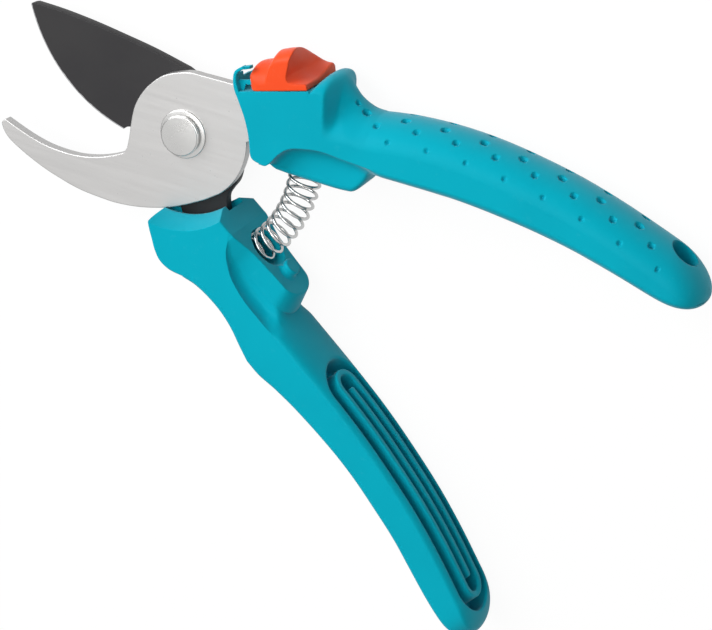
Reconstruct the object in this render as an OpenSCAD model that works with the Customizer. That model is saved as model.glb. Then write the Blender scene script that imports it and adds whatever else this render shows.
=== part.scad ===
// Bypass pruning shears, lying flat with the jaws open.
// The origin is on the pivot axis, on the plane that the shears lie on. +X runs along the upper
// handle, +Y to its outer side, and +Z up the pivot axis. The lower handle and the blade are drawn
// with the jaws closed and then turned open about the pivot.

/* [Handles] */
// Thickness of both handles, from the front face to the back face
handle_t = 22; // [21:0.5:24]
// Length of the upper handle from the pivot axis to its far end
upper_l = 152; // [142:1:165]
// Length of the lower handle from the pivot axis to its far end, jaws closed
lower_l = 162; // [154:1:176]
// Angle that the handles open through
open_angle = 37; // [30:1:37]
// Crown of the palm side of the lower handle
palm_crown = 3; // [2:0.5:4]
// Height of the rounded back of the upper grip
grip_round = 8; // [6:0.5:9]

/* [Plates] */
// Distance from the pivot axis to the tip of the hook
jaw_l = 58; // [54:1:62]
// Thickness of the hook plate and of the blade
plate_t = 3; // [2.6:0.1:3.2]
// Gap between the hook plate and the blade
plate_gap = 0.1; // [0.06:0.02:0.2]
// Radius of the round part of the hook plate
hook_hub_r = 19.4; // [18.8:0.1:20]
// Radius of the round part of the blade, hidden behind the hook plate
blade_hub_r = 16; // [15.4:0.1:16.2]
// Width of the bevel ground on the back of the blade
bevel_w = 5; // [3:0.5:7]
// Thickness left at the cutting edge
edge_t = 0.2; // [0.1:0.1:0.5]
// Length of the tangs inside the handles, from the pivot axis
tang_l = 60; // [56:1:64]
// Clearance round each tang in its slot
tang_fit = 0.05; // [0.02:0.01:0.1]
// Diameter of the dowels through the tangs
dowel_d = 4; // [3:0.5:5]
// Length of the dowels
dowel_l = 17; // [16:0.5:19]

/* [Pivot] */
// Diameter of the shank of the pivot bolt
bolt_d = 8; // [7:0.5:8]
// Diameter of the base of the bolt head
bolt_head_d = 14; // [13:0.5:16]
// Diameter of the front disc of the bolt head
bolt_disc_d = 11.6; // [11:0.2:12.4]
// Height of the bolt head above the hook plate
bolt_head_h = 3; // [2.6:0.1:3.4]
// Outer diameter of the bush that the blade turns on
bush_d = 11; // [10.4:0.2:12]
// Radial running clearance of the blade on its bush
bush_fit = 0.05; // [0.02:0.01:0.08]
// Radial clearance of the bolt in the bush, the washers and the nut
bolt_fit = 0.03; // [0.02:0.01:0.06]
// Width of the hexagon nut across its flats
nut_af = 13; // [12.5:0.5:14]
// Height of the nut, whose back face is at z = 0
nut_h = 6.5; // [6:0.1:6.8]
// Diameter of both washers
washer_d = 17; // [15:0.5:19]
// Thickness of the friction washer
washer_t = 0.5; // [0.4:0.1:0.8]
// Thickness of the sheet of the dished spring washer
disc_t = 0.5; // [0.4:0.1:0.6]
// Overall height of the dished spring washer
disc_h = 0.9; // [0.8:0.05:1.1]
// Gap between the friction washer and the blade
washer_gap = 0.05; // [0.03:0.01:0.1]

/* [Return spring] */
// Outer diameter of the coil
coil_d = 9.7; // [9:0.1:10]
// Diameter of the spring wire
wire_d = 0.95; // [0.8:0.05:1.1]
// Number of turns
coil_turns = 14; // [12:1:14]
// Radius about the pivot axis of the arc that the spring follows
coil_path_r = 36.5; // [36:0.1:37]
// Depth of the spring's pocket in the lower handle
pocket_depth = 8; // [7:0.5:9]
// Depth of the spring's seat in the upper handle
seat_depth = 5; // [4:0.5:5.5]
// Radial clearance of the coil in its pocket
pocket_fit = 0.6; // [0.5:0.1:0.8]
// Radial clearance of the coil in its seat
seat_fit = 0.3; // [0.2:0.1:0.4]

/* [Lock] */
// Travel of the lock slider
lock_travel = 2.5; // [2:0.5:2.5]
// Width of the tongue that holds the blade
tongue_w = 3; // [2.6:0.1:3.2]
// Clearance round the tongue and under the slider
lock_fit = 0.15; // [0.1:0.05:0.25]
// Thickness of the detent leaf
leaf_t = 0.4; // [0.3:0.1:0.5]
// Width of the detent leaf
leaf_w = 4; // [3:0.5:5]

/* [Details] */
// Diameter of the hanging hole
hang_d = 8.6; // [7:0.2:9]
// Width of the chamfer round the hanging hole
hang_rim = 0.5; // [0.3:0.1:0.8]
// Diameter of the bumper on the lower handle
bumper_d = 5; // [4:0.5:6]
// Gap left at the bumper with the jaws closed
bumper_gap = 0.15; // [0.1:0.05:0.3]
// Wall of the handles beside the moulded hollow in the grip
core_wall = 2.5; // [2:0.25:3.5]
// Depth of the hollow in the grip
core_depth = 7.5; // [5:0.5:8]
// Thickness of the ribs in the hollow
rib_t = 1.8; // [1.4:0.1:2.2]

/* [Hidden] */
$fn = 96;
teal = [0, 0.68, 0.75];
orange = [0.98, 0.33, 0.16];
dark_steel = [0.24, 0.24, 0.25];
pale_steel = [0.82, 0.82, 0.82];
spring_steel = [0.7, 0.7, 0.72];

// Heights of the stack on the bolt, from the back of the nut upwards
disc_z = nut_h;
washer_z = disc_z + disc_h;
blade_z = washer_z + washer_t + washer_gap;
hook_z = blade_z + plate_t + plate_gap;
head_z = hook_z + plate_t;
mid = hook_z - plate_gap / 2;
half_t = handle_t / 2;
front = mid + half_t;
back = mid - half_t;
far = 200;
eps = 0.01;

// ---- curves ----

// Height at x of the smooth line through the points pts, whose x values rise
function seg(pts, x, i = 0) = i >= len(pts) - 2 || x < pts[i + 1][0] ? i : seg(pts, x, i + 1);
function slope(pts, i) =
    let (a = max(i - 1, 0), b = min(i + 1, len(pts) - 1))
    (pts[b][1] - pts[a][1]) / (pts[b][0] - pts[a][0]);
function line_at(pts, x) =
    let (i = seg(pts, x), p = pts[i], q = pts[i + 1], h = q[0] - p[0], t = (x - p[0]) / h)
    p[1] * (1 + 2 * t) * (1 - t) ^ 2 + q[1] * t ^ 2 * (3 - 2 * t)
    + h * (slope(pts, i) * t * (1 - t) ^ 2 - slope(pts, i + 1) * t ^ 2 * (1 - t));

// Points of a smooth open curve through pts, n to each stretch
function bend(a, b, c, d, t) =
    0.5 * (2 * b + (c - a) * t + (2 * a - 5 * b + 4 * c - d) * t ^ 2
           + (3 * b - 3 * c + d - a) * t ^ 3);
function curve(pts, n = 5) =
    let (m = len(pts) - 1)
    [for (i = [0 : m - 1], k = [0 : n - 1])
         bend(pts[max(i - 1, 0)], pts[i], pts[i + 1], pts[min(i + 2, m)], k / n),
     pts[m]];
function arc(c, r, a, b, n = 12) =
    [for (k = [0 : n]) let (t = a + (b - a) * k / n) c + r * [cos(t), sin(t)]];
function ease(a, b, x) = let (t = min(max((x - a) / (b - a), 0), 1)) t * t * (3 - 2 * t);

// Closed skin over a row of rings, each a list of points that run the same way round
module skin(rings) {
    n = len(rings[0]);
    m = len(rings);
    polyhedron(
        points = [for (r = rings) each r],
        faces = [
            [for (j = [n - 1 : -1 : 0]) j],
            for (i = [0 : m - 2], j = [0 : n - 1]) let (a = i * n + j, b = i * n + (j + 1) % n) [a, b, b + n],
            for (i = [0 : m - 2], j = [0 : n - 1]) let (a = i * n + j, b = i * n + (j + 1) % n) [a, b + n, a + n],
            [for (j = [0 : n - 1]) (m - 1) * n + j]
        ]
    );
}

// Half of a handle's cross-section, from the middle of its inner side to the middle of its back.
// Each point is [distance from the inner side, height above the middle plane]. A grip section has a
// convex inner side. A head section has a narrow part that the front face falls away from in a cove.
arc_n = 7;
function grip_half(inner, ridge, h) =
    [for (k = [0 : 8]) let (t = 90 - 90 * k / 8) [ridge - (ridge - inner) * sin(t), h * cos(t)]];
function head_half(low, edge, w, cove, h) =
    let (gap = edge - low, c = min(cove, 0.6 * gap))
    [[low, 0], [low, w - 1.6], [low + min(0.6, 0.1 * gap), w - 0.5], [low + min(1.8, 0.3 * gap), w],
     for (k = [0 : 4]) let (t = 90 * k / 4) [edge - c + c * sin(t), h - (h - w) * cos(t)]];
function back_half(crown, rise, h) =
    [for (k = [0 : arc_n]) let (t = 90 * k / arc_n) [crown - rise + rise * sin(t), h * cos(t)]];
// A whole ring at x: the half section and its mirror image, side = 1 or -1 turns it over
function ring(x, half, side) =
    let (n = len(half))
    [for (k = [0 : n - 1]) [x, side * half[k][0], mid + side * half[k][1]],
     for (k = [n - 2 : -1 : 1]) [x, side * half[k][0], mid - side * half[k][1]]];

// ---- upper handle ----

upper_x0 = 30;
upper_neck = 56;
upper_end = [upper_l, -2];
tip_l = 12;
lock_dir = 16;
seat_n = 13.9;
function on_lock(s, n) = [s * cos(lock_dir) - n * sin(lock_dir), s * sin(lock_dir) + n * cos(lock_dir)];
function seat_y(x) = seat_n / cos(lock_dir) + x * tan(lock_dir);
seat_end = 38.3;

// Lines of the head against x
hump_line = [[seat_end, seat_y(seat_end)], [39.6, 27.8], [41, 29.4], [42.6, 30], [44.2, 29.5], [46.6, 26.8],
             [48.5, 24.7], [50.4, 23], [53, 21.8], [upper_neck, 21.4]];
hump_round = [[seat_end, 1], [41, 4], [45, 5], [48, 7], [51, grip_round], [upper_neck, grip_round]];
scoop_line = [[upper_x0, 2.2], [30.6, 3], [31.8, 5.2], [34.4, 7.6], [37.7, 8.9], [43.9, 9.9], [51, 9.5],
              [60, 9.1]];
bulge_line = [[upper_x0, 1.6], [31.5, 0.2], [34, -1.1], [42, -1.4], [48, -1.4], [52, -0.5], [55, 1.5],
              [57.5, 4.6], [60, 5.5]];
bulge_w = coil_d / 2 + seat_fit + 1.1;
bulge_low = -1.4;
// Lines of the grip against the share of its length, from the neck to the far end
upper_crown = [[0, 21.4], [0.1, 22.7], [0.22, 23.2], [0.34, 22.6], [0.46, 21], [0.58, 18.7],
               [0.7, 15.5], [0.82, 11.6], [0.91, 8.4], [1, 4.8]];
upper_ridge = [[0, 9.2], [0.1, 9.3], [0.25, 9.5], [0.4, 8.8], [0.62, 5.7], [0.81, 0.8],
               [0.9, -1.5], [1, -2.6]];
upper_inner = [[0, 5.5], [0.14, 5.6], [0.27, 5.4], [0.39, 4.4], [0.51, 3.1], [0.63, 1.1],
               [0.76, -1.7], [0.88, -4.8], [1, -6.6]];
function share(x, x0, l) = (x - x0) / (l - x0);
// The grip's far end closes like an ellipse: 1 before the end, 0 at it
function closing(x, l, p = 2.3) = let (t = max(0, (x - l + tip_l) / tip_l)) (1 - min(t, 1) ^ p) ^ 0.5;
function upper_half(x) =
    let (u = share(x, upper_neck, upper_l), k = closing(x, upper_l), kz = closing(x, upper_l, 3.4),
         e = upper_end[1], h = half_t * kz,
         crown = x < seat_end ? seat_y(x) : x < upper_neck ? line_at(hump_line, x) : line_at(upper_crown, u),
         rise = x < seat_end ? 0.8 : x < upper_neck ? line_at(hump_round, x) : grip_round,
         w = ease(upper_neck - 4, upper_neck + 6, x),
         ridge = x < 60 ? line_at(scoop_line, x) : line_at(upper_ridge, u),
         grip = grip_half(e + (line_at(upper_inner, max(u, 0)) - e) * k, e + (ridge - e) * k, h),
         head = head_half(line_at(bulge_line, min(x, 60)), ridge, bulge_w, 4, h),
         top = e + (crown - e) * k)
    [each w * grip + (1 - w) * head, each back_half(top, rise * k, h)];
function stations(x0, dense, x1, l) = [
    for (x = [x0 : 1.4 : dense]) x,
    for (k = [1 : 18]) dense + (l - tip_l - dense) * k / 18,
    for (t = [22 : 17 : 80]) l - tip_l + tip_l * sin(t),
    l - 0.15
];

// Outline of the head beside the plates. Its thin curved wall is where the slider ends when locked.
wall_t = 0.8;
wall_s = 23.1;
wall_end = 27.2;
guide_s = 25.6;
guide_h = 3.2;
module head_outline() {
    left = curve([[28, 1.3], [25.5, 1.5], [24.2, 2.9], [23.5, 5.6], [22.5, 9.2], [20.7, 13.4], [18.6, 17.1],
                  [16.9, 20], [16.2, 22.6], [16.4, 25], [18.3, 26.8], on_lock(wall_end, seat_n + 7.2)], 4);
    inside = curve([on_lock(wall_end, seat_n + 7.2 - wall_t), [18.6, 26], [17.3, 24.7], [17.2, 22.6],
                    on_lock(wall_s, seat_n)], 4);
    polygon([each left, each inside, [upper_x0 + 0.6, seat_y(upper_x0 + 0.6)], [upper_x0 + 0.6, 1.3]]);
}
module upper_body() {
    translate([0, 0, back])
        linear_extrude(handle_t)
            head_outline();
    skin([for (x = stations(upper_x0, upper_neck + 6, upper_l, upper_l)) ring(x, upper_half(x), 1)]);
    // rib that guides the slider
    rotate(lock_dir)
        translate([wall_s - 1, seat_n - 1, mid - rib_t / 2])
            cube([guide_s - wall_s + 1, guide_h + 1, rib_t]);
}

// ---- lower handle, in the closed pose; v runs away from the upper handle ----

lower_x0 = 30;
lower_neck = 60;
lower_end = [lower_l, 30];
deck_v = 4;
deck_end = 55.4;
lower_edge = [[lower_x0, 5.3], [31, 6.2], [33, 8.9], [35.6, 11], [39.8, 13.2], [46, 14.5], [52, 14.7],
              [lower_neck, 14.6]];
lower_low = [[lower_x0, 8], [40, 8.6], [50, 9], [55, 9.4], [58, 10.8], [62, 11.6]];
head_palm = [[lower_x0, 24.8], [34.3, 23.2], [40.2, 22.4], [45.6, 22.5], [50.5, 23.4], [55, 24.8],
             [lower_neck, 26.2]];
lower_ridge = [[0, 14.6], [0.2, 14.6], [0.35, 15.1], [0.49, 16.5], [0.62, 18.4], [0.74, 21],
               [0.86, 24.3], [1, 28.4]];
lower_palm = [[0, 26.2], [0.05, 26.1], [0.11, 24.9], [0.2, 23.8], [0.34, 23.2], [0.44, 23.6],
              [0.54, 24.8], [0.64, 26.3], [0.73, 28.4], [0.83, 30.7], [0.9, 31.8], [1, 32.6]];
deck_w = [[31, half_t - 0.1], [34.5, 9.6], [38, 8.4], [44, 7.6], [50.5, 7.1]];
function deck_half(x) = x < 31 ? half_t - 0.1 : line_at(deck_w, min(x, 50.5));
inner_rise = 3;
function lower_half(x) =
    let (u = share(x, lower_neck, lower_l), k = closing(x, lower_l), kz = closing(x, lower_l, 3.4),
         e = lower_end[1], h = half_t * kz,
         ridge = x < lower_neck ? line_at(lower_edge, x) : line_at(lower_ridge, u),
         palm = x < lower_neck ? line_at(head_palm, x) : line_at(lower_palm, u),
         w = ease(lower_neck - 8, lower_neck + 2, x),
         grip = grip_half(e + (ridge - inner_rise - e) * k, e + (ridge - e) * k, h),
         low = line_at(lower_low, min(x, 62)),
         head = head_half(max(min(low, ridge - 3), deck_v + 0.4), ridge, deck_half(x), 2.4, h),
         crown = e + (palm + palm_crown - e) * k)
    [each w * grip + (1 - w) * head, each back_half(crown, palm_crown * k, h)];

head_arc_r = 23.2;
head_face_r = 25.8;
plate_relief_r = 24.5;
module lower_body() {
    translate([0, 0, back])
        linear_extrude(handle_t)
            polygon([each arc([0, 0], head_arc_r - 1.2, -11, -58, 8),
                     each curve([[11.6, -21.2], [11.9, -22.6], [13.6, -23.9], [16.2, -25.4], [19.2, -27.1],
                                 [22.5, -28], [26.3, -27.2], [lower_x0 + 0.6, -24.6]], 4),
                     [lower_x0 + 0.6, -deck_v]]);
    skin([for (x = stations(lower_x0, lower_neck + 4, lower_l, lower_l)) ring(x, lower_half(x), -1)]);
    deck();
}
// The flat deck round the spring's pocket, with its rounded far end
module deck() {
    side = [for (x = [lower_x0 : 1.5 : 50.4]) [x, deck_half(x)], [50.5, 7.1],
            for (t = [75 : -15 : 15]) [50.5 + (deck_end - 50.5) * cos(t), 7.1 * sin(t)], [deck_end, 0]];
    translate([0, -deck_v, mid])
        rotate([90, 0, 0])
            linear_extrude(6.5)
                polygon([each side, for (k = [len(side) - 2 : -1 : 0]) [side[k][0], -side[k][1]]]);
}

// ---- hollow in the grips: an oval pocket with a loop of rib and a rib down its middle ----

// Region between two lines that follow the grip, along its whole length
module band(line, x0, l, top, bottom, a, b, side) {
    xs = [for (k = [0 : 24]) a + (b - a) * k / 24];
    v = function (x) line_at(line, share(x, x0, l));
    translate([0, 0, mid - far / 2])
        linear_extrude(far)
            polygon([for (x = xs) [x, side * (v(x) + top)],
                     for (k = [24 : -1 : 0]) [xs[k], side * (v(xs[k]) + bottom)]]);
}
// Oval of half width w between a and b, as a prism along Y
module oval(a, b, w) {
    translate([0, far / 2, mid])
        rotate([90, 0, 0])
            linear_extrude(far) {
                translate([a + w, -w])
                    square([b - a - 2 * w, 2 * w]);
                translate([a + w, 0])
                    circle(w);
                translate([b - w, 0])
                    circle(w);
            }
}
module hollow(line, x0, l, a, b, side) {
    w = half_t - core_wall;
    loop_w = 0.6 * w;
    intersection() {
        band(line, x0, l, -12, core_depth - 2.4, a - 1, b + 1, side);
        difference() {
            oval(a, b, w);
            intersection() {
                band(line, x0, l, -2.6, core_depth, a - 2, b + 2, side);
                union() {
                    difference() {
                        oval(a + w - loop_w, b - w + loop_w, loop_w);
                        oval(a + w - loop_w + rib_t, b - w + loop_w - rib_t, loop_w - rib_t);
                    }
                    oval(a + w + 1, b - w - 1, rib_t / 2);
                }
            }
        }
    }
}

// ---- plates ----

throat = 17;
jaw_reach = jaw_l - throat;
function jaw_x(share) = -throat - share * jaw_reach;
hook_inner = [[0.97, -11.8], [0.86, -13.4], [0.75, -14.8], [0.62, -15.9], [0.49, -16.2], [0.36, -15.9],
              [0.23, -14.7], [0.11, -12.8], [0.02, -10.8]];
hook_outer = [[0.16, -26.6], [0.33, -26.1], [0.48, -24.8], [0.64, -22.9], [0.8, -20.2], [0.92, -17.6],
              [0.975, -15.4], [1, -13.2], [0.985, -12.2]];
hook_hole_r = bush_d / 2 + 0.02;
blade_hole_r = bush_d / 2 + bush_fit;

// Tang of the hook plate, grown by c for its slot
module hook_tang(c = 0) {
    polygon([[10, 18.35 + c], [17, 18.5 + c], [30, 17.8 + c], [tang_l + c, 15.5 + c], [tang_l + c, 9 - c],
             [40, 7 - c], [24, 5.6 - c], [17, 2.6 - c]]);
}
module hook_shape() {
    polygon([
        each curve([for (p = hook_inner) [jaw_x(p[0]), p[1]]], 4),
        each curve([[-17, -9.2], [-16.7, -6.1], [-16.6, -2.6], [-16.4, 1], [-15.9, 4], [-14.6, 7.4],
                    [-12, 11.4], [-7.7, 15.3], [-1, 17.9], [4.1, 18.2], [10, 18.35]], 3),
        each arc([0, 0], hook_hub_r, 9, -48, 20),
        each curve([[9, -17.3], [3, -20.7], [-3, -23.4], [-10.8, -25.6], [-18, -26.6],
                    for (p = hook_outer) [jaw_x(p[0]), p[1]]], 3)
    ]);
    hook_tang();
}

// Outline of the blade in the closed pose. The cutting edge and the bevel share one centre.
edge_c = [-32.2, 25.8];
edge_r = 46.3;
tip_gap = 1.3;
blade_tip = [tip_gap - jaw_l, edge_c[1] - sqrt(edge_r ^ 2 - (tip_gap - jaw_l - edge_c[0]) ^ 2)];
tip_angle = atan2(blade_tip[1] - edge_c[1], blade_tip[0] - edge_c[0]);
// Tang of the blade, grown by c for its slot
function blade_tang(c = 0) = [
    [24, -7 + c], [29, -13.6 + c], [tang_l - 2 + c, -15.2 + c], [tang_l - 2 + c, -20.6 - c],
    [30, -21.5 - c], [19, -20.5 - c], [12, -17 - c]
];
// Outline of the blade: the spine, the hub, the neck and tang, the hub again, the notch and the edge
module blade_shape() {
    polygon([
        each curve([blade_tip + [0.7, 1.1], blade_tip + [7.8, 6.1], [-40.4, -2.1], [-31.7, 2.8], [-23.2, 7.4],
                    [-12.8, 12.3]], 3),
        each arc([0, 0], blade_hub_r, 124, 32, 18),
        each curve([[14.6, 7.2], [17.6, 5], [19.6, 1.6], [20.1, -1.6], [20.9, -4.2], [23.9, -6.9]], 3),
        each blade_tang(),
        each arc([0, 0], blade_hub_r, -72, -127, 8),
        [-12.2, -14.2], [-13.1, -15.4],
        each arc(edge_c, edge_r, -65.5, tip_angle, 24)
    ]);
}

// ---- lock ----

tongue_tip = 13.5;
tongue_end = 37;
tongue_n = 9.5;
riser_s = 30.5;
riser_l = 5;
riser_n = 18;
slider_s0 = 27.4;
module tongue_shape(c = 0, ahead = 0) {
    translate([tongue_tip - c - ahead, tongue_n - c])
        square([tongue_end - tongue_tip + 2 * c + ahead, tongue_w + 2 * c]);
}
module riser_shape(c = 0, ahead = 0) {
    translate([riser_s - c - ahead, tongue_n])
        square([riser_l + 2 * c + ahead, riser_n - tongue_n + c]);
}
slider_top = [[0, 18.2], [0.4, 19.1], [1.2, 19.6], [2.3, 19.8], [2.8, 20.7], [3.6, 21.9], [5, 23.5],
              [7, 24.6], [10, 25], [11.8, 24.4], [13, 21.8], [14, 20], [15.6, 19.6], [17, 19.4], [18, 18.8],
              [18.6, 17.4]];
slider_low = [[0, seat_n], [15, seat_n], [16.2, seat_n + 0.1], [17.2, 15.1], [18, 16.2], [18.6, 17]];
slider_l = 18.6;
groove_l = guide_s + lock_travel + 0.2 - slider_s0;
function slider_ring(s) =
    let (top = line_at(slider_top, s), low = line_at(slider_low, s) + lock_fit,
         rise = min(3.2 + 1.6 * ease(4, 6, s) * ease(13, 11.5, s), (top - low) * 0.7), h = half_t - 0.1,
         // groove that runs over the guide rib
         groove = s <= groove_l ? guide_h : 0.3, w = rib_t / 2 + lock_fit,
         half = [[low + groove, 0], [low + groove, w], [low, w + 0.1], [low, h - 0.4],
                 [low + 0.08 * (top - low), h], each back_half(top, rise, h)])
    ring(slider_s0 + s, half, 1);
slider_at = [for (k = [0 : 4]) groove_l * k / 4, groove_l + 0.2,
             for (k = [1 : 20]) groove_l + (slider_l - groove_l) * k / 20];

// ---- sub-parts ----

module in_lower() {
    rotate(-open_angle)
        children();
}
module in_lock() {
    rotate(lock_dir)
        children();
}
module pocket_axis(a, side) {
    rotate(a)
        translate([coil_path_r, 0, mid])
            rotate([-side * 90, 0, 0])
                children();
}
deg_per_mm = 180 / (PI * coil_path_r);
pocket_mouth = -6.3;
seat_mouth = asin(bulge_low / coil_path_r);
pocket_floor = pocket_mouth - pocket_depth * deg_per_mm;
seat_floor = seat_mouth + seat_depth * deg_per_mm;
pocket_r = coil_d / 2 + pocket_fit;
seat_r = coil_d / 2 + seat_fit;

hang_at = [143.2, 7.7] + [upper_l - 152, 0];
hang_dir = 65;
upper_hollow = [74, upper_l - 26];
lower_hollow = [75, lower_l - 4.5];

hook_pin_at = [[33, 12.3], [51, 12]];
blade_pin_at = [[34, -17.5], [51, -18]];
module dowels(at, r) {
    for (p = at)
        translate([p[0], p[1], back])
            cylinder(h = dowel_l, r = r);
}

module upper_handle() {
    color(teal)
        difference() {
            upper_body();
            // slot of the hook plate's tang
            translate([0, 0, hook_z - tang_fit])
                linear_extrude(plate_t + 2 * tang_fit)
                    hook_tang(tang_fit);
            // channel of the tongue, open towards the blade and up into the slider
            in_lock()
                translate([0, 0, blade_z - lock_fit])
                    linear_extrude(plate_t + plate_gap + lock_fit) {
                        tongue_shape(lock_fit, lock_travel + 2);
                        riser_shape(lock_fit, lock_travel);
                    }
            // pocket of the detent leaf
            in_lock()
                translate([leaf_s, seat_n - leaf_drop, leaf_z - lock_fit])
                    cube([leaf_l + 2 * lock_fit, leaf_drop + eps, leaf_w + 2 * lock_fit]);
            // seat of the return spring
            pocket_axis((seat_mouth + seat_floor) / 2, 1)
                translate([0, 0, -seat_depth / 2 - 3])
                    cylinder(h = seat_depth + 3, r = seat_r);
            hollow(upper_ridge, upper_neck, upper_l, upper_hollow[0], upper_hollow[1], 1);
            hanging_hole();
            dowels(hook_pin_at, dowel_d / 2);
        }
}
module hanging_hole() {
    translate([hang_at[0], hang_at[1], mid])
        rotate(hang_dir)
            rotate([0, 90, 0]) {
                translate([0, 0, -30])
                    cylinder(h = 50, d = hang_d);
                translate([0, 0, -2 * hang_rim])
                    cylinder(h = 6 * hang_rim, d1 = hang_d, d2 = hang_d + 6 * hang_rim);
            }
}

module lower_handle() {
    color(teal)
        in_lower()
            difference() {
                union() {
                    lower_body();
                    // bumper
                    translate([47.5, -deck_v - 1, mid])
                        rotate([-90, 0, 0])
                            cylinder(h = deck_v + 1 + bulge_low - bumper_gap, d = bumper_d);
                }
                // round face of the head, with its conical chamfers, front and back
                translate([0, 0, back - 1])
                    cylinder(h = handle_t + 2, r = head_arc_r);
                translate([0, 0, front - 6])
                    cylinder(h = 6 + eps, r1 = head_arc_r, r2 = head_face_r);
                translate([0, 0, back - eps])
                    cylinder(h = 6 + eps, r1 = head_face_r, r2 = head_arc_r);
                // room for the rim of the hook plate
                translate([0, 0, blade_z + plate_t - tang_fit])
                    cylinder(h = plate_t + plate_gap + 2 * tang_fit + 0.3, r = plate_relief_r);
                // slot of the blade's tang
                translate([0, 0, blade_z - tang_fit])
                    linear_extrude(plate_t + 2 * tang_fit)
                        polygon([[20.6, -4], each blade_tang(tang_fit), [10, -12]]);
                // pocket of the return spring
                pocket_axis((pocket_mouth + pocket_floor) / 2, -1)
                    translate([0, 0, -pocket_depth / 2 - 3])
                        cylinder(h = pocket_depth + 3, r = pocket_r);
                hollow(lower_ridge, lower_neck, lower_l, lower_hollow[0], lower_hollow[1], -1);
                dowels(blade_pin_at, dowel_d / 2);
            }
}

module hook_plate() {
    color(pale_steel)
        difference() {
            translate([0, 0, hook_z])
                linear_extrude(plate_t)
                    hook_shape();
            translate([0, 0, hook_z - 1])
                cylinder(h = plate_t + 2, r = hook_hole_r);
            dowels(hook_pin_at, dowel_d / 2);
        }
}

module cutting_blade() {
    color(dark_steel)
        in_lower()
            difference() {
                translate([0, 0, blade_z])
                    linear_extrude(plate_t)
                        blade_shape();
                translate([0, 0, blade_z - 1])
                    cylinder(h = plate_t + 2, r = blade_hole_r);
                // bevel on the back of the cutting edge
                intersection() {
                    translate([edge_c[0], edge_c[1], blade_z - eps])
                        difference() {
                            cylinder(h = plate_t - edge_t + eps, r = edge_r + 20);
                            cylinder(h = plate_t - edge_t + eps, r1 = edge_r - bevel_w, r2 = edge_r + 0.15);
                        }
                    translate([-jaw_l - 5, -30, blade_z - 1])
                        cube([jaw_l + 5 - 13.2, 40, plate_t + 2]);
                }
                // notch that the tongue enters when the jaws are closed
                rotate(lock_dir)
                    translate([tongue_tip - lock_travel - 0.4, tongue_n - 2 * lock_fit, blade_z - 1])
                        cube([12, tongue_w + 4 * lock_fit, plate_t + 2]);
                // room for the tongue when the jaws are open
                rotate(lock_dir + open_angle)
                    translate([tongue_tip - lock_travel - 0.4, tongue_n - 2 * lock_fit, blade_z - 1])
                        cube([12, 12, plate_t + 2]);
                dowels(blade_pin_at, dowel_d / 2);
            }
}

module hook_pins() {
    color(spring_steel)
        dowels(hook_pin_at, dowel_d / 2);
}
module blade_pins() {
    color(spring_steel)
        in_lower()
            dowels(blade_pin_at, dowel_d / 2);
}

module pivot_bolt() {
    r = bolt_disc_d / 2;
    neck = r - 0.7;
    color(pale_steel)
        rotate_extrude()
            polygon([[0, 0], [bolt_d / 2 - 0.4, 0], [bolt_d / 2, 0.4], [bolt_d / 2, head_z],
                     [bolt_head_d / 2, head_z], [bolt_head_d / 2, head_z + 0.35],
                     [bolt_head_d / 2 - 0.35, head_z + 0.6], [neck + 0.35, head_z + 0.9], [neck, head_z + 1.4],
                     [neck, head_z + 1.7], [r, head_z + 2.1], [r, head_z + bolt_head_h - 0.5],
                     [r - 0.5, head_z + bolt_head_h - 0.25], [0.6, head_z + bolt_head_h],
                     [0, head_z + bolt_head_h]]);
}
module tube(z, h, ro, ri) {
    translate([0, 0, z])
        difference() {
            cylinder(h = h, r = ro);
            translate([0, 0, -1])
                cylinder(h = h + 2, r = ri);
        }
}
module pivot_bush() {
    color(spring_steel)
        tube(blade_z, head_z - blade_z, bush_d / 2, bolt_d / 2 + bolt_fit);
}
module friction_washer() {
    color(dark_steel)
        tube(washer_z, washer_t, washer_d / 2, bolt_d / 2 + bolt_fit);
}
module spring_washer() {
    ri = bolt_d / 2 + bolt_fit;
    dish = disc_h - disc_t;
    color(spring_steel)
        translate([0, 0, disc_z])
            rotate_extrude()
                polygon([[ri, 0], [washer_d / 2, dish], [washer_d / 2, disc_h], [ri, disc_t]]);
}
module pivot_nut() {
    color(pale_steel)
        difference() {
            intersection() {
                cylinder(h = nut_h, r = nut_af / 2 / cos(30), $fn = 6);
                cylinder(h = nut_h, r1 = nut_af / 2, r2 = nut_af / 2 + nut_h * 1.7);
                cylinder(h = nut_h, r2 = nut_af / 2, r1 = nut_af / 2 + nut_h * 1.7);
            }
            translate([0, 0, -1])
                cylinder(h = nut_h + 2, r = bolt_d / 2 + bolt_fit);
        }
}

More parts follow.
